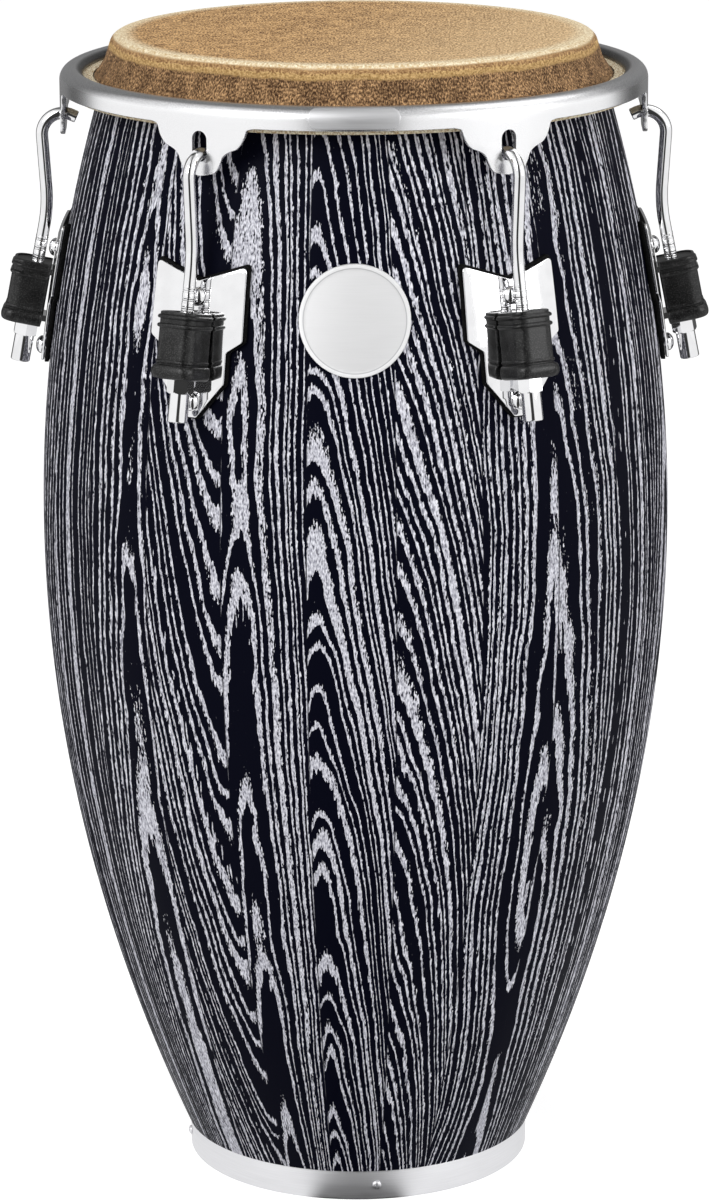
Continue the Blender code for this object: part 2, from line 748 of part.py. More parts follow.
def make_nut(index, pivot):
    """The long tuning nut under the bracket: a hexagon, a round barrel and a through bore."""
    hex_top = -BRACKET_HALF_HEIGHT - GAP
    hex_foot = hex_top - NUT_HEX_HEIGHT
    foot = hex_foot - NUT_BARREL_LENGTH
    flat = NUT_ACROSS_FLATS / 2.0
    bore = ROD_RADIUS + ROD_CLEARANCE
    levels = [
        (flat, hex_top, True),
        (flat, hex_foot, True),
        (NUT_BARREL_RADIUS, hex_foot, False),
        (NUT_BARREL_RADIUS, foot + NUT_CHAMFER, False),
        (NUT_BARREL_RADIUS - NUT_CHAMFER, foot, False),
        (bore, foot, False),
        (bore, hex_top, False),
    ]
    rows = []
    for radius, z, hexagonal in levels:
        row = []
        for k in range(NUT_SIDES):
            turn = math.tau * k / NUT_SIDES
            stretch = 1.0 / math.cos(math.radians(30)) if hexagonal and k % 2 == 0 else 1.0
            row.append(Vector((math.cos(turn), math.sin(turn), 0.0)) * radius * stretch + Vector((0, 0, z)))
        rows.append(row)
    builder = bmesh.new()
    join_loops(builder, rows, closed=True)
    nut = add_object("tuning_nut_%d" % index, builder, chrome())
    nut.parent = pivot
    return nut


def bolt_section():
    """A dome-headed bolt with its washer and nut pulled up inside the shell, seen along its axis."""
    head = PLATE_STACK + PLATE_SHEET + GAP
    inside = -SHELL_WALL - WASHER_GAP
    washer = inside - WASHER_SHEET
    return dome(BOLT_HEAD_RADIUS, BOLT_HEAD_HEIGHT, head) + [
        (BOLT_HEAD_RADIUS, head),
        (BOLT_RADIUS, head),
        (BOLT_RADIUS, inside),
        (WASHER_RADIUS, inside),
        (WASHER_RADIUS, washer),
        (INNER_NUT_RADIUS, washer),
        (INNER_NUT_RADIUS, washer - INNER_NUT_HEIGHT),
        (0.0, washer - INNER_NUT_HEIGHT),
    ]


def make_bolt(name, azimuth, z, pierced):
    """A bolt square to the shell's face, and its bore through each piece it passes."""
    place = frame_on_shell(azimuth, z)
    bolt = turned(name, bolt_section(), chrome(), BOLT_SIDES, place)
    reach = SHELL_WALL + BOLT_HEAD_HEIGHT
    bore = plain_cylinder(name + "_bore", BOLT_RADIUS + ROD_CLEARANCE, -reach, reach, place)
    for piece in pierced:
        cut(piece, bore)
    return bolt


def make_badge():
    """A plain round plate that follows the shell at the front."""
    outline = arc((0.0, 0.0), BADGE_RADIUS, 0.0, 360.0, 20)[:-1]
    bend = sheet_on_shell(0.0, HEAD_HEIGHT - BADGE_DROP, GAP)
    cuts = even_cuts(-BADGE_RADIUS, BADGE_RADIUS, 4)
    return curved_sheet("badge_plate", outline, bend, BADGE_SHEET, cuts, cuts, chrome())


def make_rim_label():
    """A plain plate with round ends, bent over the front of the rim."""
    def place_point(across, up, depth):
        run = LABEL_RISE + up
        reach = RIM_BEND_RADIUS + GAP + depth
        if run <= SKIRT_DEPTH:
            radius, z = RIM_BEND_CENTRE + reach, SKIRT_EDGE + run
        else:
            angle = (run - SKIRT_DEPTH) / RIM_BEND_RADIUS
            radius = RIM_BEND_CENTRE + reach * math.cos(angle)
            z = RIM_BEND_HEIGHT + reach * math.sin(angle)
        return on_drum(across / SKIRT_OUTER, radius, z)

    half = LABEL_HEIGHT / 2.0
    end = LABEL_WIDTH / 2.0 - half
    outline = arc((end, half), half, -90.0, 90.0, 4) + arc((-end, half), half, 90.0, 270.0, 4)
    columns = even_cuts(-LABEL_WIDTH / 2.0, LABEL_WIDTH / 2.0, 4)
    straight = SKIRT_DEPTH - LABEL_RISE
    rows = [straight] + even_cuts(straight, LABEL_HEIGHT, 3)
    return curved_sheet("rim_label_plate", outline, place_point, LABEL_SHEET, columns, rows, chrome())


def make_lug(index, azimuth, shell, rim):
    """One tuning lug, numbered from the front right, round the drum."""
    frame = lug_frame(azimuth)
    pivot = add_empty("lug_axis_%d" % index, frame)
    plate = make_side_plate(index, azimuth, frame)
    gasket = make_gasket(index, azimuth)
    make_boot(index, frame)
    make_hook(index, azimuth, frame, pivot)
    make_nut(index, pivot)
    pierced = (shell, gasket, plate)
    make_bolt("upper_bolt_%d" % index, azimuth, LUG_HEIGHT + UPPER_BOLT_RISE, pierced)
    make_bolt("lower_bolt_%d" % index, azimuth, LUG_HEIGHT - LOWER_BOLT_DROP, pierced)
    cut(rim, slot_cutter("ear_slot_%d" % index, azimuth))


for leftover in list(bpy.data.objects):
    bpy.data.objects.remove(leftover, do_unlink=True)

drum_shell = make_shell()
make_head()
make_flesh_hoop()
drum_rim = make_rim()
foot_band = make_foot_ring()
for screw in range(FOOT_SCREW_COUNT):
    make_foot_screw(screw, drum_shell, foot_band)
for lug in range(LUG_COUNT):
    make_lug(lug + 1, FIRST_LUG_AZIMUTH + lug * 360.0 / LUG_COUNT, drum_shell, drum_rim)
make_badge()
make_rim_label()
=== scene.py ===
"""Conga: the looks of a barrel-shaped hand drum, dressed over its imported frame.

Metres, +Z up, the drum's front facing -Y. Azimuths are measured round +Z from the front and are
positive towards +X.
"""

import random
from math import atan, cos, degrees, hypot, pi, radians, sin, sqrt, tan, tau

import bmesh
import bpy
import numpy as np
from mathutils import Matrix, Vector


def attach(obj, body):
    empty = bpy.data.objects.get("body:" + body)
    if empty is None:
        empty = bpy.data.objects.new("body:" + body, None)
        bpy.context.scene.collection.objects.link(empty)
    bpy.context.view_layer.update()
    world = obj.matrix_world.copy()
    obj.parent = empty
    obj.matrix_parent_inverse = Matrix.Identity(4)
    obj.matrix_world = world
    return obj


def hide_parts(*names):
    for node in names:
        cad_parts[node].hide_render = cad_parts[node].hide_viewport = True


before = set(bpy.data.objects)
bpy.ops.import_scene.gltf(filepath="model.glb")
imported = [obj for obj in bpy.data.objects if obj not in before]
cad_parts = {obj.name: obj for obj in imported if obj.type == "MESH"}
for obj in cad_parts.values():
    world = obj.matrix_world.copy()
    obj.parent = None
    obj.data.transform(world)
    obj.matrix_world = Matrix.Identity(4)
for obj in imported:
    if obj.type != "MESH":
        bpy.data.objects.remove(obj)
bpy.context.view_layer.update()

# Camera: it stands three metres in front of the drum, a little above the head, and looks down. The
# view is plain, with no film look.
CAMERA_PLACE = Vector((-0.0007, -3.0185, 1.1821))
CAMERA_DIP = 14.85
CAMERA_ROLL = -0.255
CAMERA_LENS = 140.5


def linked(name, data):
    """A new object in the scene."""
    made = bpy.data.objects.new(name, data)
    bpy.context.scene.collection.objects.link(made)
    return made


camera = linked("camera", bpy.data.cameras.new("camera"))
camera.data.lens = CAMERA_LENS
camera.data.sensor_width = 36.0
camera.data.clip_end = 50.0
dip = Matrix.Rotation(radians(90.0 - CAMERA_DIP), 4, "X")
roll = Matrix.Rotation(radians(CAMERA_ROLL), 4, "Z")
camera.matrix_world = Matrix.Translation(CAMERA_PLACE) @ dip @ roll
bpy.context.scene.camera = camera
bpy.context.scene.view_settings.view_transform = "Standard"


# Studio: a pale floor, a white surround, and three broad soft lamps, each with its place, size and
# power. The surround has darker openings between its panels, which polished metal shows as lines.
FLOOR_SIZE = 14.0
FLOOR_COLOUR = (0.6, 0.6, 0.6, 1.0)
FLOOR_ROUGHNESS = 0.9
FLOOR_GLOW = 0.62
FLOOR_MIRRORED = 0.95
LAMP_AIM = Vector((0.0, 0.0, 0.4))
AMBIENT = 0.64
# Openings of the surround: where each is darkest and where it ends, and how dark it gets. The first
# three are in degrees from the camera's side of the drum, and the last goes by height.
CAMERA_OPENING = (12.0, 20.0, 0.04)
FAR_OPENING = (138.0, 112.0, 0.22)
SLIT_OPENING = (7.0, 16.0, 0.3)
SLIT_MIDDLE = 133.0
OVERHEAD_OPENING = (0.985, 0.86, 0.40)
SOFT_LAMPS = (
    ("key", (-1.9, -2.3, 2.3), 1.6, 56.0),
    ("fill", (2.4, -1.5, 1.5), 1.4, 27.0),
    ("top", (0.8, 0.2, 1.9), 0.9, 4.0),
)


class Signal:
    """A value in a node tree, whose arithmetic adds Math nodes to the tree."""

    def __init__(self, socket):
        self.tree = socket.id_data
        self.socket = socket

    def reckon(self, operation, *others):
        step = add_node(self.tree, "ShaderNodeMath", self, *others, operation=operation)
        return Signal(step.outputs[0])

    def __add__(self, other):
        return self.reckon("ADD", other)

    def __sub__(self, other):
        return self.reckon("SUBTRACT", other)

    def __mul__(self, other):
        return self.reckon("MULTIPLY", other)

    def __truediv__(self, other):
        return self.reckon("DIVIDE", other)

    def root(self):
        return self.reckon("SQRT")

    def part(self):
        return self.reckon("FRACT")

    def size(self):
        return self.reckon("ABSOLUTE")


def feed(place, value):
    """Link a signal or an output to an input, or set the input's own value."""
    if isinstance(value, Signal):
        value = value.socket
    if isinstance(value, bpy.types.NodeSocket):
        place.id_data.links.new(value, place)
    else:
        place.default_value = value


def add_node(tree, kind, *values, **settings):
    """A new node with its settings made, and its first inputs fed in their order."""
    made = tree.nodes.new(kind)
    for name, setting in settings.items():
        setattr(made, name, setting)
    for place, value in zip(made.inputs, values):
        feed(place, value)
    return made


def ease(signal, low, high):
    """A smooth rise from 0 at low to 1 at high."""
    kind = {"interpolation_type": "SMOOTHSTEP"}
    step = add_node(signal.tree, "ShaderNodeMapRange", signal, low, high, **kind)
    return Signal(step.outputs["Result"])


def inverse(signal):
    """What is left of 1."""
    return signal * -1.0 + 1.0


def split(socket):
    """The three parts of a vector, as signals."""
    step = add_node(socket.id_data, "ShaderNodeSeparateXYZ", socket)
    return [Signal(part) for part in step.outputs]


def new_finish(name):
    """A Principled material, with its shader and the X, Y and Z of the object's own space."""
    made = bpy.data.materials.new(name)
    made.use_nodes = True
    point = add_node(made.node_tree, "ShaderNodeTexCoord").outputs["Object"]
    return made, made.node_tree.nodes["Principled BSDF"], split(point)


def coat(shader, colour, roughness, metallic=0.0, specular=0.5):
    """Feed the four inputs of a shader that every finish here sets."""
    labels = ("Base Color", "Roughness", "Metallic", "Specular IOR Level")
    for label, value in zip(labels, (colour, roughness, metallic, specular)):
        feed(shader.inputs[label], value)


def distance(x, y):
    """Distance from a point with both at 0, such as the drum's axis."""
    return (x * x + y * y).root()


def bearing(x, y):
    """Azimuth in radians."""
    return x.reckon("ARCTAN2", y * -1.0)


def opening(signal, low, high, dark):
    """Dark where the signal is at low, and 1 where it is at high."""
    return ease(signal, low, high) * (1.0 - dark) + dark


def panels(x, y):
    """How bright the surround looks to polished metal, by the side of the drum that it is on."""
    side = bearing(x, y).size() * (180.0 / pi)
    slit = opening((side - SLIT_MIDDLE).size(), *SLIT_OPENING)
    return opening(side, *CAMERA_OPENING) * opening(side, *FAR_OPENING) * slit


def light_world():
    """White to the camera, panels to metal, and a plain level of light to all else."""
    world = bpy.data.worlds.new("studio")
    world.use_nodes = True
    bpy.context.scene.world = world
    tree = world.node_tree
    x, y, z = split(add_node(tree, "ShaderNodeTexCoord").outputs["Generated"])
    mirrored = panels(x, y) * opening(z, *OVERHEAD_OPENING)
    path = add_node(tree, "ShaderNodeLightPath").outputs
    rays = ("Is Camera Ray", "Is Glossy Ray", "Is Transmission Ray")
    seen, glossy, through = (Signal(path[ray]) for ray in rays)
    plain = (seen + through).reckon("MINIMUM", 1.0)
    rest = inverse((plain + glossy).reckon("MINIMUM", 1.0))
    back = tree.nodes["Background"]
    feed(back.inputs["Color"], (1.0, 1.0, 1.0, 1.0))
    feed(back.inputs["Strength"], plain + glossy * mirrored * inverse(plain) + rest * AMBIENT)


def lay_floor():
    """The pale floor: white to the camera but for the shadow, and to metal as the surround."""
    mesh = bpy.data.meshes.new("floor")
    half = FLOOR_SIZE / 2.0
    corners = [(-half, -half, 0.0), (half, -half, 0.0), (half, half, 0.0), (-half, half, 0.0)]
    mesh.from_pydata(corners, [], [(0, 1, 2, 3)])
    finish, shader, (x, y, _) = new_finish("pale_floor")
    coat(shader, FLOOR_COLOUR, FLOOR_ROUGHNESS)
    tree = finish.node_tree
    path = add_node(tree, "ShaderNodeLightPath").outputs
    glow, mirrored = (add_node(tree, "ShaderNodeEmission") for _ in range(2))
    feed(glow.inputs["Strength"], Signal(path["Is Camera Ray"]) * FLOOR_GLOW)
    feed(mirrored.inputs["Strength"], panels(x, y) * FLOOR_MIRRORED)
    lit = add_node(tree, "ShaderNodeAddShader", shader.outputs[0], glow.outputs[0])
    parts = (path["Is Glossy Ray"], lit.outputs[0], mirrored.outputs[0])
    both = add_node(tree, "ShaderNodeMixShader", *parts)
    feed(tree.nodes["Material Output"].inputs["Surface"], both.outputs[0])
    mesh.materials.append(finish)
    floor = linked("floor", mesh)


def hang_lamp(name, place, size, power):
    lamp = linked(name, bpy.data.lights.new(name, "AREA"))
    lamp.data.size = size
    lamp.data.energy = power
    aim = (LAMP_AIM - Vector(place)).to_track_quat("-Z", "Y")
    lamp.matrix_world = Matrix.Translation(place) @ aim.to_matrix().to_4x4()


light_world()
lay_floor()
for soft_lamp in SOFT_LAMPS:
    hang_lamp(*soft_lamp)


# Shell: 23 staves of flat-sawn ash, glued, turned to a barrel and sanded. The soft wood of each
# growth ring is brushed out, filled with a silvery lavender and left rough in a blue-black stain.
BELLY_HEIGHT = 0.440
BELLY_RADIUS = 0.2065
SHELL_TAPER = 0.515
SHELL_WALL = 0.011
SHELL_FOOT = 0.0018
SHELL_TOP = 0.7595
SPIGOT_RADIUS = 0.1128
SPIGOT_TOP = 0.0207
BEARING_EDGE_RADIUS = 0.005
INNER_EDGE_RADIUS = 0.003
STAVES = 23
STAVE_ANGLE = tau / STAVES
FIRST_SEAM = radians(-8.6)
SHELL_STEPS = STAVES * 11
STAIN = (0.0023, 0.0026, 0.0075)
SILVER_DULL = (0.17, 0.17, 0.22)
SILVER_BRIGHT = (0.85, 0.85, 0.91)
# Figure of the staves in front, by number from the one that holds the front, towards +X: how far
# right of its middle the heart of the figure lies, how fast the rings climb, how blunt their tips
# are, how far apart the rings lie at the heart, how much they crowd away from it, how much they
# swirl, where they start, and how much less silver than usual the stave shows. That last is partly
# the stave's own figure and, on the staves towards the drum's sides, a painted shade that darkens
# the shell towards its left and right edges.
FIGURES = {
    -5: (0.060, 0.012, 0.006, 0.0220, 16.0, 0.012, 0.20, 0.90),
    -4: (-0.052, 0.020, 0.006, 0.0190, 16.0, 0.012, 0.60, 0.70),
    -3: (0.012, 0.055, 0.010, 0.0115, 20.0, 0.010, 0.98, 0.10),
    -2: (0.026, -0.420, 0.006, 0.0130, 16.0, 0.012, 0.60, 0.15),
    -1: (-0.016, 0.105, 0.010, 0.0120, 30.0, 0.012, 0.45, 0.02),
    0: (-0.022, 0.320, 0.005, 0.0096, 16.0, 0.012, 0.00, 0.10),
    1: (-0.034, 0.460, 0.005, 0.0118, 16.0, 0.014, 0.30, 0.05),
    2: (0.024, 0.050, 0.007, 0.0120, 16.0, 0.040, 0.50, -0.05),
    3: (-0.027, 0.120, 0.006, 0.0140, 16.0, 0.014, 0.80, 0.00),
    4: (-0.062, 0.020, 0.006, 0.0190, 16.0, 0.012, 0.25, 0.30),
    5: (0.010, 0.120, 0.006, 0.0160, 16.0, 0.016, 0.65, 0.50),
}
FIGURE_NAMES = ("heart", "rise", "blunt", "ring", "crowd", "swirl", "start", "thin_and_side_shade", "seed")
WANDER = 0.0034
UNEVEN = 0.9
RAGGED = 0.14
LEANER = 0.34
LEANER_AT_FOOT = 0.16
SOFT_WOOD = (0.20, 0.68)
SEAM_EDGES = (0.0002, 0.0007)
# How fine each noise is across a stave and along it
SWIRL_GRAIN = (9.0, 5.5)
WANDER_GRAIN = (60.0, 22.0)
RAGGED_GRAIN = (520.0, 70.0)
LEAN_GRAIN = (14.0, 8.0)
DASH_GRAIN = (1150.0, 190.0)
PORE_GRAIN = (1000.0, 420.0)


def shell_radius(z):
    """Outer radius of the shell at a height."""
    return BELLY_RADIUS - SHELL_TAPER * (z - BELLY_HEIGHT) ** 2


def shell_lean(z):
    """Angle by which the shell's outer face leans inwards going up, at a height."""
    return atan(2.0 * SHELL_TAPER * (z - BELLY_HEIGHT))


def arc(centre, radius, start, end, steps):
    """Points in a plane along an arc, from the start angle to the end angle in degrees."""
    angles = [radians(start + (end - start) * i / steps) for i in range(steps + 1)]
    return [(centre[0] + radius * cos(a), centre[1] + radius * sin(a)) for a in angles]


def on_drum(azimuth, radius, z):
    """The point at an azimuth in radians, a radius and a height."""
    return Vector((radius * sin(azimuth), -radius * cos(azimuth), z))


def evenly(low, high, count):
    """Values at even steps from one to another, both of them included."""
    return [low + (high - low) * i / count for i in range(count + 1)]


def full_turn(count):
    """Angles at even steps, once round."""
    return [tau * i / count for i in range(count)]


def new_tree(name, **inputs):
    """A geometry tree with a mesh in, named inputs for sizes and finish, and a mesh out."""
    tree = bpy.data.node_groups.new(name, "GeometryNodeTree")
    inputs = {"geometry": "Geometry", **inputs, "finish": "Material"}
    for label, kind in inputs.items():
        tree.interface.new_socket(label, in_out="INPUT", socket_type="NodeSocket" + kind)
    tree.interface.new_socket("geometry", in_out="OUTPUT", socket_type="NodeSocketGeometry")
    return tree, add_node(tree, "NodeGroupInput").outputs


def close_tree(tree, given, geometry):
    """The tree, ended with its instances made real and its finish set."""
    real = add_node(tree, "GeometryNodeRealizeInstances", geometry)
    finished = add_node(tree, "GeometryNodeSetMaterial", real.outputs[0])
    feed(finished.inputs["Material"], given["finish"])
    add_node(tree, "NodeGroupOutput", finished.outputs[0])
    return tree


def evaluated(*makers):
    """The mesh of the last object with its modifiers applied. The objects given are removed."""
    graph = bpy.context.evaluated_depsgraph_get()
    made = bpy.data.meshes.new_from_object(makers[-1].evaluated_get(graph), depsgraph=graph)
    for maker in makers:
        bpy.data.objects.remove(maker)
    return made


def make_with(tree, start, **values):
    """The plain mesh that a tree makes from a starting mesh. Inputs are given by their labels."""
    maker = linked("maker", start)
    step = maker.modifiers.new("make", "NODES")
    step.node_group = tree
    for item in tree.interface.items_tree:
        if item.in_out == "INPUT" and item.name in values:
            step[item.identifier] = values[item.name]
    return evaluated(maker)


def turning_tree():
    """Turns a closed section, given as points in order in the XZ plane, about the Z axis."""
    tree, given = new_tree("turning", steps="Int", points="Int")
    index = Signal(add_node(tree, "GeometryNodeInputIndex").outputs[0])
    steps, points = (Signal(given[label]) for label in ("steps", "points"))
    row = points + 1.0
    take = add_node(tree, "GeometryNodeSampleIndex", given["geometry"], data_type="FLOAT_VECTOR")
    feed(take.inputs["Value"], add_node(tree, "GeometryNodeInputPosition").outputs[0])
    feed(take.inputs["Index"], index.reckon("MODULO", row).reckon("MODULO", points))
    radius, _, height = split(take.outputs["Value"])
    angle = ((index + 0.5) / row).reckon("FLOOR") / steps * tau
    x, y = radius * angle.reckon("SINE"), radius * angle.reckon("COSINE") * -1.0
    grid = add_node(tree, "GeometryNodeMeshGrid")
    feed(grid.inputs["Vertices X"], steps + 1.0)
    feed(grid.inputs["Vertices Y"], row)
    move = add_node(tree, "GeometryNodeSetPosition", grid.outputs["Mesh"])
    place = add_node(tree, "ShaderNodeCombineXYZ", x, y, height)
    feed(move.inputs["Position"], place.outputs[0])
    close = add_node(tree, "GeometryNodeMergeByDistance", move.outputs[0])
    feed(close.inputs["Distance"], 1e-6)
    return close_tree(tree, given, close.outputs[0])


def smooth(mesh, crease=30.0):
    """Outward faces, shaded smooth up to a crease angle."""
    builder = bmesh.new()
    builder.from_mesh(mesh)
    bmesh.ops.recalc_face_normals(builder, faces=builder.faces)
    builder.to_mesh(mesh)
    builder.free()
    mesh.shade_smooth()
    mesh.set_sharp_from_angle(angle=radians(crease))


def add_piece(name, mesh, body, slot, *nodes):
    """A finished piece that rides on a body and stands for the nodes named."""
    piece = linked(name, mesh)
    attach(piece, body)
    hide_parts(*nodes)


def turn_section(section, steps, finish):
    """A mesh turned from a closed section of (radius, height) points."""
    start = bpy.data.meshes.new("section")
    start.from_pydata([(radius, 0.0, height) for radius, height in section], [], [])
    return make_with(turning, start, steps=steps, points=len(section), finish=finish)


def grain_noise(x, y, z, detail=1.0):
    """Noise over three signals, spread over 0 to 1."""
    place = add_node(x.tree, "ShaderNodeCombineXYZ", x, y, z)
    step = add_node(x.tree, "ShaderNodeTexNoise", place.outputs[0], 0.0, 1.0, detail)
    return ease(Signal(step.outputs["Fac"]), 0.26, 0.74)


def even_noise(point, scale, detail=2.0):
    """Noise that is as fine in all directions."""
    return grain_noise(*(part * scale for part in point), detail)


def blend(share, low, high):
    """A colour between two, by a signal. Each colour is three numbers or another blend."""
    step = add_node(share.tree, "ShaderNodeMix", share, data_type="RGBA")
    for place, colour in ((step.inputs[6], low), (step.inputs[7], high)):
        feed(place, (*colour, 1.0) if isinstance(colour, tuple) else colour)
    return step.outputs[2]


def emboss(shader, height, depth, strength):
    """Relief from a signal of 0 to 1."""
    step = add_node(height.tree, "ShaderNodeBump", strength, depth)
    feed(step.inputs["Height"], height)
    feed(shader.inputs["Normal"], step.outputs[0])


def stained_ash():
    made, shader, (x, y, z) = new_finish("stained_ash")
    given = {}
    for name in FIGURE_NAMES:
        step = add_node(made.node_tree, "ShaderNodeAttribute", attribute_name=name)
        given[name] = Signal(step.outputs["Fac"])
    radius = distance(x, y)
    off = ((bearing(x, y) - FIRST_SEAM) / STAVE_ANGLE).part() - 0.5
    narrowing = radius * -1.0 + BELLY_RADIUS
    kept = ease(z, BELLY_HEIGHT + 0.05, BELLY_HEIGHT - 0.05) * 0.6 + 0.4
    across = off * (narrowing * kept + radius) * STAVE_ANGLE

    def grain(scales, apart=0.0, detail=1.0):
        return grain_noise(across * scales[0], given["seed"] + apart, z * scales[1], detail)

    from_heart = across - given["heart"]
    bow = distance(from_heart, given["blunt"])
    swirl = (grain(SWIRL_GRAIN) - 0.5) * given["swirl"]
    wander = (grain(WANDER_GRAIN) - 0.5) * WANDER
    crowd = bow * bow * given["crowd"]
    growth = (bow + crowd + z * given["rise"] + swirl + wander) / given["ring"]
    uneven = (grain_noise(growth * 0.55, given["seed"], 0.0) - 0.5) * UNEVEN
    ragged = (grain(RAGGED_GRAIN) - 0.5) * RAGGED
    ring = (growth + uneven + ragged + given["start"]).part()
    leaner = ease(grain(LEAN_GRAIN, 9.0), 0.46, 0.72) * LEANER
    near_foot = ease(z, 0.36, 0.04) * LEANER_AT_FOOT
    # The stave's own value takes silver away: partly its figure, and on the staves towards the
    # drum's sides a painted shade that darkens the shell towards its edges.
    thinned_and_shaded = ring * (given["thin_and_side_shade"] + 1.0 + leaner + near_foot)
    soft_wood = inverse(ease(thinned_and_shaded, *SOFT_WOOD)) * ease(ring, 0.0, 0.03)
    dashes, pores = grain(DASH_GRAIN, 0.0, 1.5), grain(PORE_GRAIN, 5.0)
    silver = ease(soft_wood - dashes * 0.72 - pores * 0.46, -0.04, 0.12)
    seam = ease((off.size() - 0.5).size() * radius * STAVE_ANGLE, *SEAM_EDGES)
    silver = silver * (seam * 0.8 + 0.2)
    pale = blend(pores * -0.75 + dashes * -0.35 + 1.05, SILVER_DULL, SILVER_BRIGHT)
    coat(shader, blend(silver, STAIN, pale), silver * 0.22 + 0.40, specular=0.02)
    emboss(shader, inverse(silver), 0.0003, 0.6)
    return made


def shell_section():
    """Closed section: round the bearing edge, down the outer face, and up the inner face."""
    edge_height = SHELL_TOP - BEARING_EDGE_RADIUS
    lean = degrees(shell_lean(edge_height))
    touch = edge_height + BEARING_EDGE_RADIUS * sin(radians(lean))
    edge_centre = shell_radius(touch) - BEARING_EDGE_RADIUS * cos(radians(lean))
    points = arc((edge_centre, edge_height), BEARING_EDGE_RADIUS, 90.0, lean, 6)
    points += [(shell_radius(z), z) for z in evenly(touch, SPIGOT_TOP, 70)[1:]]
    points += [(SPIGOT_RADIUS, SPIGOT_TOP), (SPIGOT_RADIUS, SHELL_FOOT)]
    points += [(shell_radius(z) - SHELL_WALL, z) for z in evenly(SHELL_FOOT, edge_height, 30)]
    inner = shell_radius(edge_height) - SHELL_WALL + INNER_EDGE_RADIUS
    points += arc((inner, SHELL_TOP - INNER_EDGE_RADIUS), INNER_EDGE_RADIUS, 180.0, 90.0, 4)
    return points, (edge_centre, edge_height), lean


def set_figure(mesh):
    """Give each face the figure of its stave. Staves out of the front have figures by chance."""
    chance = random.Random(11)
    figures = []
    for number in range(STAVES):
        front = number if number in FIGURES else number - STAVES
        guess = (
            chance.uniform(-0.035, 0.035),
            chance.choice((-1.0, 1.0)) * chance.uniform(0.04, 0.40),
            chance.uniform(0.004, 0.009),
            chance.uniform(0.0100, 0.0150),
            chance.uniform(14.0, 24.0),
            chance.uniform(0.010, 0.028),
            chance.uniform(0.0, 1.0),
            chance.uniform(0.0, 0.3),
        )
        figures.append(FIGURES.get(front, guess) + (number * 0.37,))
    middles = np.empty(len(mesh.polygons) * 3)
    mesh.polygons.foreach_get("center", middles)
    middles = middles.reshape(-1, 3)
    around = np.arctan2(middles[:, 0], -middles[:, 1])
    stave = np.floor((around - FIRST_SEAM) / STAVE_ANGLE).astype(int) % STAVES
    for column, name in enumerate(FIGURE_NAMES):
        values = np.array([figure[column] for figure in figures])[stave]
        mesh.attributes.new(name, "FLOAT", "FACE").data.foreach_set("value", values)


turning = turning_tree()
shell_mesh = turn_section(shell_section()[0], SHELL_STEPS, stained_ash())
shell_mesh.transform(Matrix.Rotation(FIRST_SEAM, 4, "Z"))
smooth(shell_mesh)
set_figure(shell_mesh)
add_piece("stave_shell", shell_mesh, "drum", "stained_ash", "shell")


# Foot ring: a band of satin steel round the foot, with a flange turned in under the staves. It
# keeps them from splaying when the drum is set down. Four small cross-head screws hold it.
FOOT_RING_RADIUS = 0.1146
FOOT_RING_HEIGHT = 0.0204
FOOT_RING_SHEET = 0.0015
FOOT_RING_BEND = 0.0013
FOOT_FLANGE_WIDTH = 0.010
FOOT_RING_STEPS = 192
SCREW_COUNT = 4
SCREW_AZIMUTH = 6.0
SCREW_HEIGHT = 0.0105
SCREW_LENGTH = 0.009
SCREW_RADIUS = 0.0014
SCREW_HEAD_RADIUS = 0.0031
SCREW_HEAD_HEIGHT = 0.0017
CROSS_LENGTH = 0.0036
CROSS_WIDTH = 0.0008
CROSS_DEPTH = 0.0011
GAP = 0.0003
DOME_SWEEP = 78.0
SHEET_CREASE = 40.0
FITTING_CREASE = 32.0


def around_tree():
    """Repeats a piece round the drum, at even steps from a first azimuth in degrees."""
    tree, given = new_tree("round_the_drum", count="Int", first_azimuth="Float")
    count, first = (Signal(given[label]) for label in ("count", "first_azimuth"))
    spots = add_node(tree, "GeometryNodeMeshLine", count)
    feed(spots.inputs["Offset"], (0.0, 0.0, 0.0))
    index = Signal(add_node(tree, "GeometryNodeInputIndex").outputs[0])
    azimuth = (index / count + first / 360.0) * tau
    turn = add_node(tree, "FunctionNodeAxisAngleToRotation", (0.0, 0.0, 1.0), azimuth)
    copies = add_node(tree, "GeometryNodeInstanceOnPoints", spots.outputs[0])
    feed(copies.inputs["Instance"], given["geometry"])
    feed(copies.inputs["Rotation"], turn.outputs[0])
    return close_tree(tree, given, copies.outputs[0])


def repeat_round(mesh, count, first_azimuth, finish):
    """Copies of a piece made at the front, round the drum, as one mesh."""
    made = make_with(around, mesh, count=count, first_azimuth=first_azimuth, finish=finish)
    made.shade_smooth()
    made.set_sharp_from_angle(angle=radians(FITTING_CREASE))
    return made


def taken(builder, name):
    """The mesh that a builder holds. The builder is freed."""
    made = bpy.data.meshes.new(name)
    builder.to_mesh(made)
    builder.free()
    return made


def joined(*meshes):
    """Several meshes as one, in the order given."""
    builder = bmesh.new()
    for mesh in meshes:
        builder.from_mesh(mesh)
    return taken(builder, "joined")


def loops_mesh(loops, closed=False):
    """A mesh through loops of points, its ends capped unless the row of loops closes."""
    builder = bmesh.new()
    rows = [[builder.verts.new(point) for point in loop] for loop in loops]
    pairs = list(zip(rows, rows[1:]))
    if closed:
        pairs.append((rows[-1], rows[0]))
    else:
        builder.faces.new(rows[0])
        builder.faces.new(list(reversed(rows[-1])))
    for near, far in pairs:
        for i in range(len(near)):
            j = (i + 1) % len(near)
            builder.faces.new((near[i], near[j], far[j], far[i]))
    bmesh.ops.recalc_face_normals(builder, faces=builder.faces)
    return taken(builder, "loops")


def carved(mesh, *cutters):
    """A mesh with cutter meshes taken out of it."""
    target = linked("carved", mesh)
    helpers = [linked("cutter", cutter) for cutter in cutters]
    for helper in helpers:
        step = target.modifiers.new("cut", "BOOLEAN")
        step.operation = "DIFFERENCE"
        step.solver = "EXACT"
        step.object = helper
    return evaluated(*helpers, target)


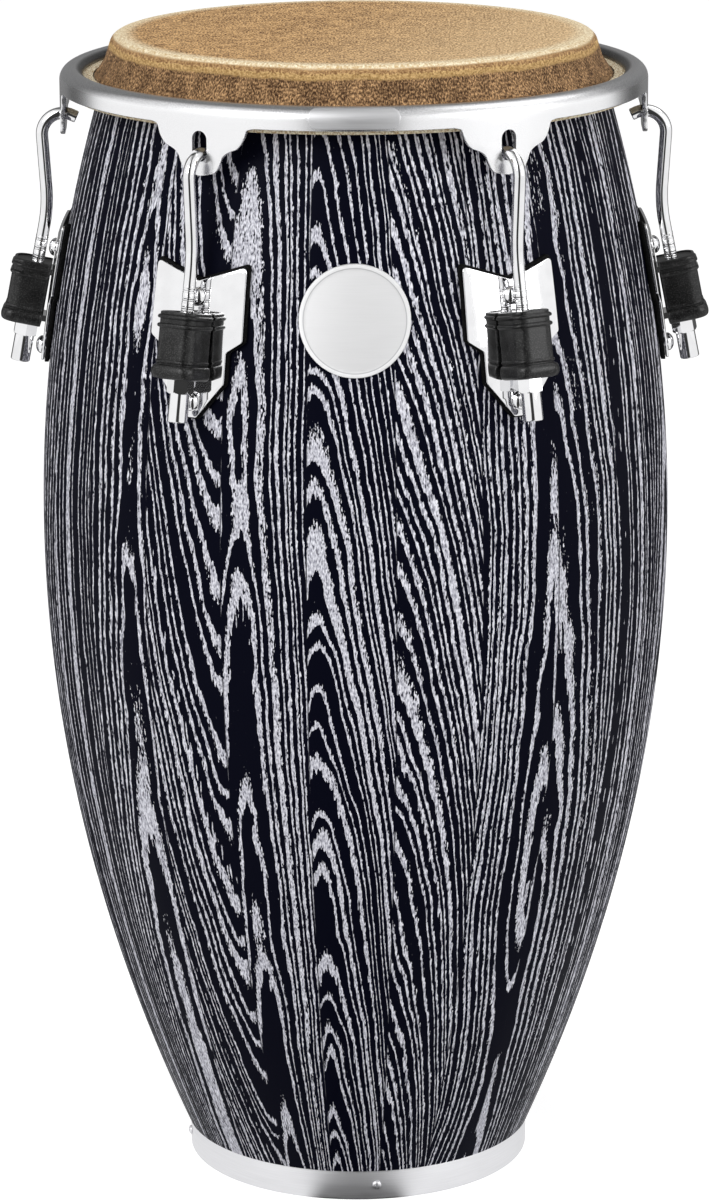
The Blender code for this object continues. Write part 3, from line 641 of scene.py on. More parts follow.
def extruded(outline, low, high, place):
    """An outline, extruded along Z between two heights and moved to its place."""
    made = loops_mesh([[(x, y, z) for x, y in outline] for z in (low, high)])
    made.transform(place)
    return made


def rod_between(radius, low, high, sides, place=Matrix()):
    """A round cutter or bar along Z."""
    circle = [(radius * cos(a), radius * sin(a)) for a in full_turn(sides)]
    return extruded(circle, low, high, place)


def block(size, place):
    """A square block about a place, as a cutter."""
    x, y, z = Vector(size) / 2.0
    return extruded([(-x, -y), (x, -y), (x, y), (-x, y)], -z, z, Matrix.Translation(place))


def facing_out(azimuth, radius, z, lean=0.0):
    """A frame on the drum: X round it, Z outwards, and tilted up by a lean in radians."""
    outward = on_drum(azimuth, cos(lean), sin(lean))
    along = Vector((cos(azimuth), sin(azimuth), 0.0))
    turn = Matrix((along, outward.cross(along), outward)).transposed().to_4x4()
    return Matrix.Translation(on_drum(azimuth, radius, z)) @ turn


def dome(radius, height, base, steps=8):
    """Section of a domed head above its base, from the top on the axis down to its edge."""
    curve = [radians(90.0 - DOME_SWEEP * i / steps) for i in range(1, steps + 1)]
    edge = [(radius * cos(a), base + height * sin(a)) for a in curve]
    return [(0.0, base + height)] + edge


def worn_steel(name, tint, roughness, along, spread=0.06, relief=0.5):
    """Bare or plated steel, faintly brushed along one direction, a little uneven in roughness."""
    made, shader, point = new_finish(name)
    brush = grain_noise(*(part * scale for part, scale in zip(point, along)), 2.0)
    cloud = even_noise(point, 24.0)
    low = tuple(part * 0.94 for part in tint)
    rough = brush * spread + cloud * spread + (roughness - spread)
    coat(shader, blend(brush, low, tint), rough, 1.0)
    if relief:
        emboss(shader, brush, 0.00002, relief)
    return made


def foot_ring_section():
    inner = FOOT_RING_RADIUS - FOOT_RING_SHEET
    half = FOOT_RING_SHEET / 2.0
    bend = FOOT_RING_BEND
    lip = FOOT_RING_RADIUS - FOOT_FLANGE_WIDTH
    points = arc((inner + half, FOOT_RING_HEIGHT - half), half, 180.0, 0.0, 8)
    points += arc((FOOT_RING_RADIUS - bend, bend), bend, 0.0, -90.0, 6)
    points += [(lip + half, 0.0)] + arc((lip + half, half), half, 270.0, 90.0, 6)
    points.append((inner, FOOT_RING_SHEET))
    return points


def make_screw():
    """One dome-headed screw with a cross recess, at the front."""
    tip = -SCREW_LENGTH
    section = dome(SCREW_HEAD_RADIUS, SCREW_HEAD_HEIGHT, GAP) + [
        (SCREW_HEAD_RADIUS, GAP),
        (SCREW_RADIUS, GAP),
        (SCREW_RADIUS, tip + SCREW_RADIUS),
        (0.0, tip),
    ]
    body = turn_section(section, 28, steel)
    smooth(body)
    middle = (0.0, 0.0, GAP + SCREW_HEAD_HEIGHT)
    arms = ((CROSS_LENGTH, CROSS_WIDTH), (CROSS_WIDTH, CROSS_LENGTH))
    body = carved(body, *[block((x, y, 2.0 * CROSS_DEPTH), middle) for x, y in arms])
    body.transform(facing_out(0.0, FOOT_RING_RADIUS, SCREW_HEIGHT))
    return body


around = around_tree()
steel = worn_steel("satin_steel", (0.82, 0.82, 0.84), roughness=0.50, along=(40.0, 40.0, 2200.0))
foot_mesh = turn_section(foot_ring_section(), FOOT_RING_STEPS, steel)
smooth(foot_mesh, SHEET_CREASE)
add_piece("foot_band", foot_mesh, "drum", "satin_chrome", "foot_ring")
screws = repeat_round(make_screw(), SCREW_COUNT, SCREW_AZIMUTH, steel)
screw_nodes = ["foot_screw_%d" % i for i in range(1, SCREW_COUNT + 1)]
add_piece("foot_screws", screws, "drum", "chrome", *screw_nodes)


# Side plates: polished steel, cut to a shield with a notch at the top, bent to the shell, with a
# folded bracket welded on for the rod. Each lies on a thicker gasket of soft black rubber.
LUG_COUNT = 6
FIRST_LUG_AZIMUTH = 30.0
LUG_HEIGHT = 0.593
ROD_RADIUS = 0.004
ROD_LEAN = radians(11.3)
ROD_STANDOFF = 0.0110
ROD_CLEARANCE = 0.0004
GASKET_SHEET = 0.0030
GASKET_MARGIN = 0.0013
GASKET_EDGE = 0.0006
PLATE_SHEET = 0.0020
PLATE_CORNER = 0.0030
PLATE_EDGE = 0.0005
SHEET_CELL = 0.004
PLATE_HALF_OUTLINE = (
    (0.0000, 0.0380),
    (0.0315, 0.0485),
    (0.0325, 0.0025),
    (0.0223, -0.0045),
    (0.0220, -0.0240),
    (0.0045, -0.0460),
)
BRACKET_HALF_WIDTH = 0.0092
BRACKET_HALF_HEIGHT = 0.0175
BRACKET_SHEET = 0.004
BRACKET_REACH = 0.0074
PLATE_BACK = GAP + GASKET_SHEET + GAP
ROD_RADIUS_AT_LUG = shell_radius(LUG_HEIGHT) + PLATE_BACK + PLATE_SHEET + ROD_STANDOFF
LUG_PLACE = Matrix.Translation((0.0, -ROD_RADIUS_AT_LUG, LUG_HEIGHT))
LUG_FRAME = LUG_PLACE @ Matrix.Rotation(-ROD_LEAN, 4, "X")


def rounded(outline, radius, steps=6):
    """An outline with each corner rounded, as far as its sides allow."""
    points = []
    for i, corner in enumerate(map(Vector, outline)):
        before = Vector(outline[i - 1]) - corner
        after = Vector(outline[(i + 1) % len(outline)]) - corner
        half = before.angle(after) / 2.0
        reach = min(radius / tan(half), before.length * 0.45, after.length * 0.45)
        start = corner + before.normalized() * reach
        end = corner + after.normalized() * reach
        for share in evenly(0.0, 1.0, steps):
            mixed = start.lerp(corner, share).lerp(corner.lerp(end, share), share)
            points.append(tuple(mixed))
    return points


def grown(outline, margin):
    """An anticlockwise outline moved outwards by a margin, with its corners kept."""
    points = []
    for i, corner in enumerate(map(Vector, outline)):
        into = (corner - Vector(outline[i - 1])).normalized()
        out = (Vector(outline[(i + 1) % len(outline)]) - corner).normalized()
        normal = Vector((into.y, -into.x)) + Vector((out.y, -out.x))
        points.append(tuple(corner + normal * margin / (normal.length_squared / 2.0)))
    return points


def shield_outline():
    right = list(PLATE_HALF_OUTLINE)
    left = [(-x, y) for x, y in right[1:]]
    return [right[0]] + left + list(reversed(right[1:]))


def bent_sheet(outline, thickness, edge, cell, place_point):
    """A sheet with soft edges, cut into small cells and bent by place_point(across, up, depth)."""
    builder = bmesh.new()
    face = builder.faces.new([builder.verts.new((x, y, 0.0)) for x, y in outline])
    face.normal_update()
    if face.normal.z < 0.0:
        face.normal_flip()
    slab = bmesh.ops.extrude_face_region(builder, geom=[face])
    lifted = [item for item in slab["geom"] if isinstance(item, bmesh.types.BMVert)]
    bmesh.ops.translate(builder, verts=lifted, vec=(0.0, 0.0, thickness))
    bmesh.ops.recalc_face_normals(builder, faces=builder.faces)
    rims = [item for item in builder.edges if abs(item.verts[0].co.z - item.verts[1].co.z) < 1e-7]
    bmesh.ops.bevel(builder, geom=rims, offset=edge, segments=3, affect="EDGES", profile=0.5)
    for axis, normal in enumerate((Vector((1.0, 0.0, 0.0)), Vector((0.0, 1.0, 0.0)))):
        reach = [vert.co[axis] for vert in builder.verts]
        count = max(2, round((max(reach) - min(reach)) / cell))
        for cut in evenly(min(reach), max(reach), count)[1:-1]:
            parts = builder.verts[:] + builder.edges[:] + builder.faces[:]
            spot = normal * cut
            bmesh.ops.bisect_plane(builder, geom=parts, dist=1e-7, plane_co=spot, plane_no=normal)
    for vert in builder.verts:
        vert.co = place_point(*vert.co)
    bmesh.ops.recalc_face_normals(builder, faces=builder.faces)
    return taken(builder, "sheet")


def on_shell(height, offset):
    """A bend that lays a sheet on the front of the shell, its back at an offset from it."""
    def place_point(across, up, depth):
        z = height + up
        return on_drum(across / shell_radius(z), shell_radius(z) + offset + depth, z)
    return place_point


def depth_to_plate(height, share):
    """Y in the lug's frame where a line at a height along the rod meets the plate.

    It is negative outwards. The share is 0 at the plate's back face and 1 at its front face.
    """
    depth = 0.0
    for _ in range(8):
        z = LUG_HEIGHT - depth * sin(ROD_LEAN) + height * cos(ROD_LEAN)
        radius = shell_radius(z) + PLATE_BACK + share * PLATE_SHEET
        reach = radius - ROD_RADIUS_AT_LUG + height * sin(ROD_LEAN)
        depth = -reach / cos(ROD_LEAN)
    return depth


def prism(outline, half_width):
    """An outline in the lug's YZ plane, extruded to both sides, in place at the front."""
    made = loops_mesh([[(x, y, z) for y, z in outline] for x in (-half_width, half_width)])
    made.transform(LUG_FRAME)
    return made


def make_bracket():
    top = BRACKET_HALF_HEIGHT
    inside = top - BRACKET_SHEET
    web = -BRACKET_REACH - BRACKET_SHEET
    outline = [
        (depth_to_plate(top, 0.5), top),
        (web, top),
        (web, -top),
        (depth_to_plate(-top, 0.5), -top),
        (depth_to_plate(-inside, 0.5), -inside),
        (-BRACKET_REACH, -inside),
        (-BRACKET_REACH, inside),
        (depth_to_plate(inside, 0.5), inside),
    ]
    reach = top + BRACKET_SHEET
    return carved(
        prism(outline, BRACKET_HALF_WIDTH),
        rod_between(ROD_RADIUS + ROD_CLEARANCE, -reach, reach, 32, LUG_FRAME),
    )


def black_rubber(name, sheen, roughness, dustiness):
    """Black rubber, faintly mottled, with dust in its pores."""
    made, shader, point = new_finish(name)
    mottle = even_noise(point, 1300.0)
    cloud = even_noise(point, 110.0)
    dust = ease(mottle, 0.52, 0.95) * 0.8 + cloud * 0.2
    colour = blend(dust, (0.0010, 0.0010, 0.0011), (dustiness, dustiness, dustiness))
    coat(shader, colour, cloud * 0.08 + roughness, specular=sheen)
    emboss(shader, mottle, 0.00005, 0.4)
    return made


def add_at_lugs(name, mesh, finish, slot, *labels):
    """One piece of six copies of a mesh made at the front, for the six nodes of each label."""
    copies = repeat_round(mesh, LUG_COUNT, FIRST_LUG_AZIMUTH, finish)
    nodes = ["%s_%d" % (label, i) for label in labels for i in range(1, LUG_COUNT + 1)]
    add_piece(name, copies, "drum", slot, *nodes)


even = (90.0, 90.0, 90.0)
chrome = worn_steel("polished_chrome", (0.90, 0.90, 0.91), 0.05, even, spread=0.012, relief=0.0)
sheet_rubber = black_rubber("sheet_rubber", sheen=0.06, roughness=0.60, dustiness=0.010)
plate_outline = rounded(shield_outline(), PLATE_CORNER)
plate_bend = on_shell(LUG_HEIGHT, PLATE_BACK)
plate_sheet = bent_sheet(plate_outline, PLATE_SHEET, PLATE_EDGE, SHEET_CELL, plate_bend)
add_at_lugs("shield_plates", joined(plate_sheet, make_bracket()), chrome, "chrome", "side_plate")
gasket_outline = rounded(grown(shield_outline(), GASKET_MARGIN), PLATE_CORNER)
gasket_bend = on_shell(LUG_HEIGHT, GAP)
gasket = bent_sheet(gasket_outline, GASKET_SHEET, GASKET_EDGE, SHEET_CELL, gasket_bend)
add_at_lugs("plate_gaskets", gasket, sheet_rubber, "rubber", "gasket")


# Side bolts: two for each plate, dome-headed, plated, square to the shell, with a flat washer and a
# hexagon nut pulled up inside it.
BOLT_RADIUS = 0.003
BOLT_HEAD_RADIUS = 0.006
BOLT_HEAD_HEIGHT = 0.0042
UPPER_BOLT_RISE = 0.0275
LOWER_BOLT_DROP = 0.0370
WASHER_GAP = 0.0008
WASHER_RADIUS = 0.0080
WASHER_SHEET = 0.0012
INNER_NUT_RADIUS = 0.0055
INNER_NUT_HEIGHT = 0.005
BOLT_CHAMFER = 0.0002
SOCKET_RADIUS = 0.0021
SOCKET_DEPTH = 0.0022


def make_side_bolt(height):
    """One bolt with its washer and nut, at the front of the drum."""
    head = PLATE_BACK + PLATE_SHEET + GAP
    inside = -SHELL_WALL - WASHER_GAP
    washer = inside - WASHER_SHEET
    tail = washer - INNER_NUT_HEIGHT
    section = dome(BOLT_HEAD_RADIUS, BOLT_HEAD_HEIGHT, head) + [
        (BOLT_HEAD_RADIUS, head + BOLT_CHAMFER),
        (BOLT_HEAD_RADIUS - BOLT_CHAMFER, head),
        (BOLT_RADIUS, head),
        (BOLT_RADIUS, inside),
        (WASHER_RADIUS, inside),
        (WASHER_RADIUS, washer),
        (BOLT_RADIUS, washer),
        (BOLT_RADIUS, tail),
        (0.0, tail),
    ]
    bolt = turn_section(section, 32, chrome)
    smooth(bolt)
    top = head + BOLT_HEAD_HEIGHT
    bolt = carved(bolt, rod_between(SOCKET_RADIUS, top - SOCKET_DEPTH, top + SOCKET_DEPTH, 6))
    made = joined(bolt, rod_between(INNER_NUT_RADIUS, tail + BOLT_CHAMFER, washer, 6))
    made.transform(facing_out(0.0, shell_radius(height), height, shell_lean(height)))
    return made


upper_bolt = make_side_bolt(LUG_HEIGHT + UPPER_BOLT_RISE)
lower_bolt = make_side_bolt(LUG_HEIGHT - LOWER_BOLT_DROP)
both_bolts = joined(upper_bolt, lower_bolt)
add_at_lugs("side_bolts", both_bolts, chrome, "chrome", "upper_bolt", "lower_bolt")


# Boots: moulded rubber sleeves pushed over the brackets so that they don't bruise the player's
# knees. Each has two ribs near the top, a bulging flange at the foot, and a mouth for the nut.
NUT_ACROSS_FLATS = 0.0145
BOOT_WALL = 0.0036
BOOT_END = 0.0032
BOOT_BACK_GAP = 0.0009
BOOT_CORNER = 0.0080
BOOT_BACK_CORNER = 0.0012
BOOT_EDGE = 0.0010
BOOT_SWELLS = (
    (0.0174, 0.0014, 0.0012),
    (0.0120, 0.0014, 0.0012),
    (-0.0102, 0.0010, 0.0006),
    (-0.0164, 0.0044, 0.0022),
)
BOOT_RECESS = 0.0008
BOOT_LIP = 0.0019
BOOT_LEVELS = 84
BOOT_TOP = BRACKET_HALF_HEIGHT + GAP + BOOT_END
BOOT_BACK = min(depth_to_plate(z, 1.0) for z in (BOOT_TOP, -BOOT_TOP)) - BOOT_BACK_GAP
BOOT_NOSE = -(BRACKET_REACH + BRACKET_SHEET + GAP + BOOT_WALL)
BOOT_HALF = BRACKET_HALF_WIDTH + GAP + BOOT_WALL


def boot_swell(z):
    """How far the boot's outside stands proud at a height: its ribs, flange and round edges."""
    swell = 0.0
    for middle, half, proud in BOOT_SWELLS:
        swell += proud * sqrt(max(0.0, 1.0 - ((z - middle) / half) ** 2))
    into = max(0.0, BOOT_EDGE - (BOOT_TOP - abs(z)))
    return swell - BOOT_EDGE + sqrt(BOOT_EDGE ** 2 - into ** 2)


def boot_loop(z, swell):
    """A rounded rectangular loop of the boot, swollen on its front and sides."""
    half = BOOT_HALF + swell
    nose = BOOT_NOSE - swell
    corner = BOOT_CORNER
    back = BOOT_BACK_CORNER
    points = arc((half - back, BOOT_BACK - back), back, 90.0, 0.0, 3)
    points += arc((half - corner, nose + corner), corner, 0.0, -90.0, 10)
    points += arc((corner - half, nose + corner), corner, 270.0, 180.0, 10)
    points += arc((back - half, BOOT_BACK - back), back, 180.0, 90.0, 3)
    return [(x, y, z) for x, y in points]


def make_boot():
    levels = evenly(-BOOT_TOP, BOOT_TOP, BOOT_LEVELS)
    body = loops_mesh([boot_loop(z, boot_swell(z)) for z in levels])
    past_top = BOOT_TOP + BOOT_END
    recess = loops_mesh([boot_loop(z, -BOOT_LIP) for z in (BOOT_TOP - BOOT_RECESS, past_top)])
    room = BRACKET_HALF_HEIGHT + GAP
    inside = BOOT_NOSE + BOOT_WALL
    past = BOOT_BACK + BOOT_WALL
    half = BRACKET_HALF_WIDTH + GAP
    corners = ((past, room), (inside, room), (inside, -room), (past, -room))
    hollow = loops_mesh([[(x, y, z) for y, z in corners] for x in (-half, half)])
    bore = rod_between(ROD_RADIUS + ROD_CLEARANCE, 0.0, past_top, 32)
    nut_room = NUT_ACROSS_FLATS / 2.0 / cos(radians(30.0)) + ROD_CLEARANCE
    mouth = rod_between(nut_room, -past_top, 0.0, 40)
    made = carved(body, recess, hollow, bore, mouth)
    made.transform(LUG_FRAME)
    return made


moulded_rubber = black_rubber("moulded_rubber", sheen=0.30, roughness=0.28, dustiness=0.045)
add_at_lugs("rubber_boots", make_boot(), moulded_rubber, "rubber", "boot")


# Head: thick hide, soaked, tucked round a steel flesh hoop and pulled down over the bearing edge,
# where it dries hard. Handling polishes the top; the wall keeps its nap, and the cut edge is raw.
# The top's right side carries a painted sheen, and its rolled edge a painted highlight.
HEAD_HEIGHT = 0.762
HIDE = 0.0022
HIDE_WALL_DROP = 0.017
HOOP_DROP = 0.0264
HOOP_HEIGHT = 0.0068
HOOP_WIDTH = 0.0120
HOOP_PLAY = 0.0050
TUCK_SLIT = 0.0011
HEAD_STEPS = 240
TUCK_TOP = HEAD_HEIGHT - HOOP_DROP
HOOP_TOP = TUCK_TOP - HIDE - GAP
HOOP_FOOT = HOOP_TOP - HOOP_HEIGHT
TUCK_FOOT = HOOP_FOOT - HIDE - GAP
HOOP_INNER = shell_radius(HOOP_FOOT) + HOOP_PLAY
HOOP_OUTER = HOOP_INNER + HOOP_WIDTH
TUCK_OUTER = HOOP_OUTER + GAP + HIDE
# Colours of the hide, darkest and palest: its top, the painted sheen on its right side, the painted
# highlight round its rolled edge, the wall and the raw cut edge. The bands lie between the edge and
# the wall, from one drop to another; the first, darker one is painted shade where the hide dips in
# a soft groove below the rolled edge.
HIDE_TOP = ((0.130, 0.050, 0.010), (0.860, 0.530, 0.230))
HIDE_RIGHT_SHEEN = ((0.340, 0.190, 0.075), (1.000, 0.740, 0.420))
HIDE_EDGE_HIGHLIGHT = ((0.620, 0.430, 0.210), (1.000, 0.900, 0.660))
HIDE_WALL = ((0.040, 0.014, 0.003), (0.660, 0.395, 0.190))
HIDE_RAW = ((0.50, 0.33, 0.16), (1.0, 0.91, 0.68))
HIDE_BANDS = (
    (0.0010, 0.0026, (0.180, 0.085, 0.026), (0.560, 0.345, 0.155)),
    (0.0042, 0.0052, (0.320, 0.185, 0.060), (0.700, 0.460, 0.200)),
)
WALL_DROPS = (0.0074, 0.0092)
WALL_RADIUS = 0.155
RAW_EDGE = (HOOP_INNER - 0.0016, HOOP_INNER - 0.0008)
TOP_STEPS = 24


def between(start, end, count):
    """Points at even steps from one point to another, without the first."""
    shares = [i / count for i in range(1, count + 1)]
    return [tuple(a + (b - a) * share for a, b in zip(start, end)) for share in shares]


def head_section():
    """The folded hide: flat top, rolled edge, wall, the tuck round the hoop, and back up inside."""
    edge, lean = shell_section()[1:]
    wall_z = HEAD_HEIGHT - HIDE_WALL_DROP
    slant = cos(shell_lean(wall_z))
    inner_wall = shell_radius(wall_z) + GAP / slant
    outer_wall = inner_wall + HIDE / slant
    hoop_side = HOOP_INNER - GAP
    slit_edge = hoop_side + TUCK_SLIT
    roof = HOOP_TOP + GAP
    floor = HOOP_FOOT - GAP
    soft = HIDE * 0.7
    wall_gain = (hoop_side - outer_wall) / (wall_z - roof)
    outer_edge = BEARING_EDGE_RADIUS + GAP + HIDE
    flat = edge[0]
    section = [(flat * i / TOP_STEPS, HEAD_HEIGHT) for i in range(TOP_STEPS)]
    section += arc(edge, outer_edge, 90.0, lean, 14)
    section += between(section[-1], (outer_wall, wall_z), 8)
    section += between((outer_wall, wall_z), (hoop_side, roof), 6)
    hoop_far = HOOP_OUTER + GAP
    section += [(hoop_side, floor), (hoop_far, floor), (hoop_far, roof), (slit_edge, roof)]
    section.append((slit_edge - wall_gain * HIDE, TUCK_TOP))
    section += arc((TUCK_OUTER - soft, TUCK_TOP - soft), soft, 90.0, 0.0, 6)
    section += arc((TUCK_OUTER - soft, TUCK_FOOT + soft), soft, 0.0, -90.0, 6)
    section += arc((hoop_side - HIDE + soft, TUCK_FOOT + soft), soft, 270.0, 180.0, 6)
    section += [(hoop_side - HIDE, roof), (inner_wall, wall_z)]
    section += arc(edge, BEARING_EDGE_RADIUS + GAP, lean, 90.0, 8)
    section.append((0.0, HEAD_HEIGHT - HIDE))
    return section


def natural_hide():
    made, shader, (x, y, z) = new_finish("natural_hide")
    radius = distance(x, y)
    around_wall = bearing(x, y) * WALL_RADIUS
    fleck = grain_noise(x * 760.0, y * 360.0, z * 760.0, 2.0)
    fibre = grain_noise(around_wall * 1000.0, z * 620.0, 0.0, 2.0)
    cloud = even_noise((x, y, z), 26.0, 3.0)
    fine_cloud = grain_noise(x * 110.0, y * 110.0, z * 60.0, 2.0)
    depth = z * -1.0 + HEAD_HEIGHT
    unsure = (cloud - 0.5) * 0.0014 + (fleck - 0.5) * 0.0012
    drop = depth + unsure * ease(depth, 0.0006, 0.0030)
    mottle = ease(fleck, 0.22, 0.78) * 0.66 + ease(fine_cloud, 0.3, 0.7) * 0.20 + cloud * 0.14
    colour = blend(mottle, *HIDE_TOP)
    # Painted sheen: the top turns paler towards its right and front, standing in for the lamps'
    # sheen there.
    colour = blend(ease(x - y * 0.3, -0.06, 0.18), colour, blend(fleck, *HIDE_RIGHT_SHEEN))
    # Painted highlight: a pale band round the rolled edge, reaching a little onto the top, stands
    # in for the lamps' highlight there.
    edge_radius = shell_section()[1][0]
    rolled = ease(radius, edge_radius - 0.012, edge_radius + 0.001)
    colour = blend(rolled, colour, blend(fleck, *HIDE_EDGE_HIGHLIGHT))
    # The first band is painted shade where the hide dips in a soft groove below the rolled edge;
    # the second is a golden line along the ridge beyond it.
    for low, high, dark, light in HIDE_BANDS:
        colour = blend(ease(drop, low, high), colour, blend(fleck, dark, light))
    tone = fibre * 0.75 + fine_cloud * 0.25
    colour = blend(ease(drop, *WALL_DROPS), colour, blend(tone * tone * 1.2, *HIDE_WALL))
    tuck = ease(radius + (fibre - 0.5) * 0.0012, *RAW_EDGE)
    colour = blend(tuck, colour, blend(fleck * 1.3, *HIDE_RAW))
    rough = ease(drop, 0.001, 0.006) * 0.25 + fleck * 0.08 + 0.42
    coat(shader, colour, rough, specular=0.22)
    relief = fleck * (tuck * 1.6 + 0.8) + fibre * ease(drop, 0.002, 0.008)
    emboss(shader, relief, 0.00060, 0.9)
    return made


hide = natural_hide()
head_mesh = turn_section(head_section(), HEAD_STEPS, hide)
smooth(head_mesh, SHEET_CREASE)
add_piece("hide_head", head_mesh, "drum", "hide", "head_skin")


# Rim: pressed steel rolled over the tucked hide, so that the hands meet a round edge. Six slotted
# ears hang from it, and a thin plain label plate with round ends is bent over its front.
RIM_SHEET = 0.003
RIM_BEND_RADIUS = 0.008
RIM_LIP_SWEEP = 60.0
RIM_PLAY = 0.0036
RIM_EDGE = 0.0007
RIM_CREASE = 35.0
SKIRT_DEPTH = 0.0064
EAR_LINE = (
    (0.0370, 0.0000),
    (0.0325, 0.0016),
    (0.0300, 0.0080),
    (0.0262, 0.0128),
    (0.0195, 0.0158),
    (0.0158, 0.0192),
    (0.0138, 0.0240),
    (0.0100, 0.0290),
    (0.0000, 0.0312),
)
SLOT_WIDTH = 0.0104
SLOT_HEIGHT = 0.0193
SLOT_FLOOR_DROP = 0.0223
LABEL_WIDTH = 0.057
LABEL_HEIGHT = 0.0140
LABEL_RISE = 0.0012
LABEL_SHEET = 0.0008
LABEL_EDGE = 0.0003
LABEL_CELL = 0.0015
PLAIN_RIM_STEP = 0.0025
SKIRT_INNER = TUCK_OUTER + RIM_PLAY
SKIRT_OUTER = SKIRT_INNER + RIM_SHEET
RIM_INNER_BEND = RIM_BEND_RADIUS - RIM_SHEET
RIM_BEND_CENTRE = SKIRT_OUTER - RIM_BEND_RADIUS
RIM_BEND_HEIGHT = TUCK_TOP + GAP - RIM_INNER_BEND * cos(radians(RIM_LIP_SWEEP))
SKIRT_EDGE = RIM_BEND_HEIGHT - SKIRT_DEPTH
RIM_FACE = ((0.90, 0.90, 0.91), (0.94, 0.94, 0.95))
RIM_SATIN = ((0.55, 0.55, 0.56), (0.82, 0.82, 0.83))
RIM_LIP_SHADE = ((0.03, 0.03, 0.03), (0.22, 0.22, 0.22))


def smooth_line(points, steps):
    """Points along a smooth line through the given ones."""
    knots = [Vector(point) for point in points]
    knots = [knots[0] * 2.0 - knots[1]] + knots + [knots[-1] * 2.0 - knots[-2]]
    line = []
    for before, start, end, after in zip(knots, knots[1:], knots[2:], knots[3:]):
        for i in range(steps):
            t = i / steps
            pull = (end - before) * t + (before * 2.0 - start * 5.0 + end * 4.0 - after) * t * t
            twist = (start * 3.0 - before - end * 3.0 + after) * t ** 3
            line.append(tuple(start + (pull + twist) / 2.0))
    return line + [tuple(points[-1])]


def rim_column(azimuth, drop):
    """The rim's section at an azimuth where its lower edge hangs by drop, as points on the drum."""
    centre = (RIM_BEND_CENTRE, RIM_BEND_HEIGHT)
    lip = 90.0 + RIM_LIP_SWEEP
    low = SKIRT_EDGE - drop + RIM_EDGE
    middle = RIM_BEND_RADIUS - RIM_SHEET / 2.0
    angle = radians(lip)
    nose = (centre[0] + middle * cos(angle), centre[1] + middle * sin(angle))
    section = arc((SKIRT_OUTER - RIM_EDGE, low), RIM_EDGE, -90.0, 0.0, 3)
    section += [(SKIRT_OUTER, z) for z in evenly(low, RIM_BEND_HEIGHT, 6)[1:-1]]
    section += arc(centre, RIM_BEND_RADIUS, 0.0, lip, 18)[:-1]
    section += arc(nose, RIM_SHEET / 2.0, lip, lip + 180.0, 6)
    section += arc(centre, RIM_INNER_BEND, lip, 0.0, 12)[1:]
    section += [(SKIRT_INNER, z) for z in evenly(RIM_BEND_HEIGHT, low, 6)[1:-1]]
    section += arc((SKIRT_INNER + RIM_EDGE, low), RIM_EDGE, 180.0, 270.0, 3)
    return [on_drum(azimuth, radius, z) for radius, z in section]


def slot_cutter(azimuth):
    """An upright slot with round ends, through one ear."""
    half = SLOT_WIDTH / 2.0
    low = SKIRT_EDGE - SLOT_FLOOR_DROP + half
    high = low + SLOT_HEIGHT - SLOT_WIDTH
    outline = arc((0.0, high), half, 0.0, 180.0, 14) + arc((0.0, low), half, 180.0, 360.0, 14)
    along = Vector((cos(azimuth), sin(azimuth), 0.0))
    reaches = (SKIRT_INNER - RIM_SHEET, SKIRT_OUTER + RIM_SHEET)
    return loops_mesh([[on_drum(azimuth, r, z) + along * x for x, z in outline] for r in reaches])


def make_rim():
    sector = tau / LUG_COUNT
    ear = [(along / SKIRT_OUTER, drop) for along, drop in smooth_line(EAR_LINE, 6)]
    ear += [(-angle, drop) for angle, drop in reversed(ear[:-1])]
    plain = sector - 2.0 * ear[0][0]
    count = round(plain * SKIRT_OUTER / PLAIN_RIM_STEP)
    ear += [(-ear[0][0] - plain * i / count, 0.0) for i in range(1, count)]
    first = radians(FIRST_LUG_AZIMUTH)
    columns = []
    for lug in range(LUG_COUNT):
        middle = first - sector * lug
        columns += [rim_column(middle + angle, max(drop, 0.0)) for angle, drop in ear]
    cutters = [slot_cutter(first + sector * lug) for lug in range(LUG_COUNT)]
    return carved(loops_mesh(columns, closed=True), joined(*cutters))


def over_rim(across, up, depth):
    """A bend that lays a sheet over the front of the rim, from just above its lower edge."""
    run = LABEL_RISE + up
    reach = RIM_BEND_RADIUS + GAP + depth
    if run <= SKIRT_DEPTH:
        return on_drum(across / SKIRT_OUTER, RIM_BEND_CENTRE + reach, SKIRT_EDGE + run)
    angle = (run - SKIRT_DEPTH) / RIM_BEND_RADIUS
    radius = RIM_BEND_CENTRE + reach * cos(angle)
    return on_drum(across / SKIRT_OUTER, radius, RIM_BEND_HEIGHT + reach * sin(angle))


def with_finish(mesh, finish):
    mesh.materials.clear()
    mesh.materials.append(finish)
    return mesh


def rim_chrome():
    """Chrome, polished on the face and satin over the rolled shoulder, with a painted shade inside
    the lip.
    """
    made, shader, (x, y, z) = new_finish("rim_chrome")
    speck = even_noise((x, y, z), 1500.0)
    shoulder = ease(z, RIM_BEND_HEIGHT + 0.0016, RIM_BEND_HEIGHT + 0.0042)
    # Painted shade: the inside of the lip turns near black, standing in for the shade in the gap
    # against the hide.
    inside = ease(distance(x, y), RIM_BEND_CENTRE - 0.0020, RIM_BEND_CENTRE - 0.0050)
    colour = blend(shoulder, blend(speck, *RIM_FACE), blend(speck, *RIM_SATIN))
    colour = blend(inside, colour, blend(speck, *RIM_LIP_SHADE))
    coat(shader, colour, shoulder * 0.10 + 0.24, 1.0)
    emboss(shader, speck * shoulder, 0.00003, 0.4)
    return made


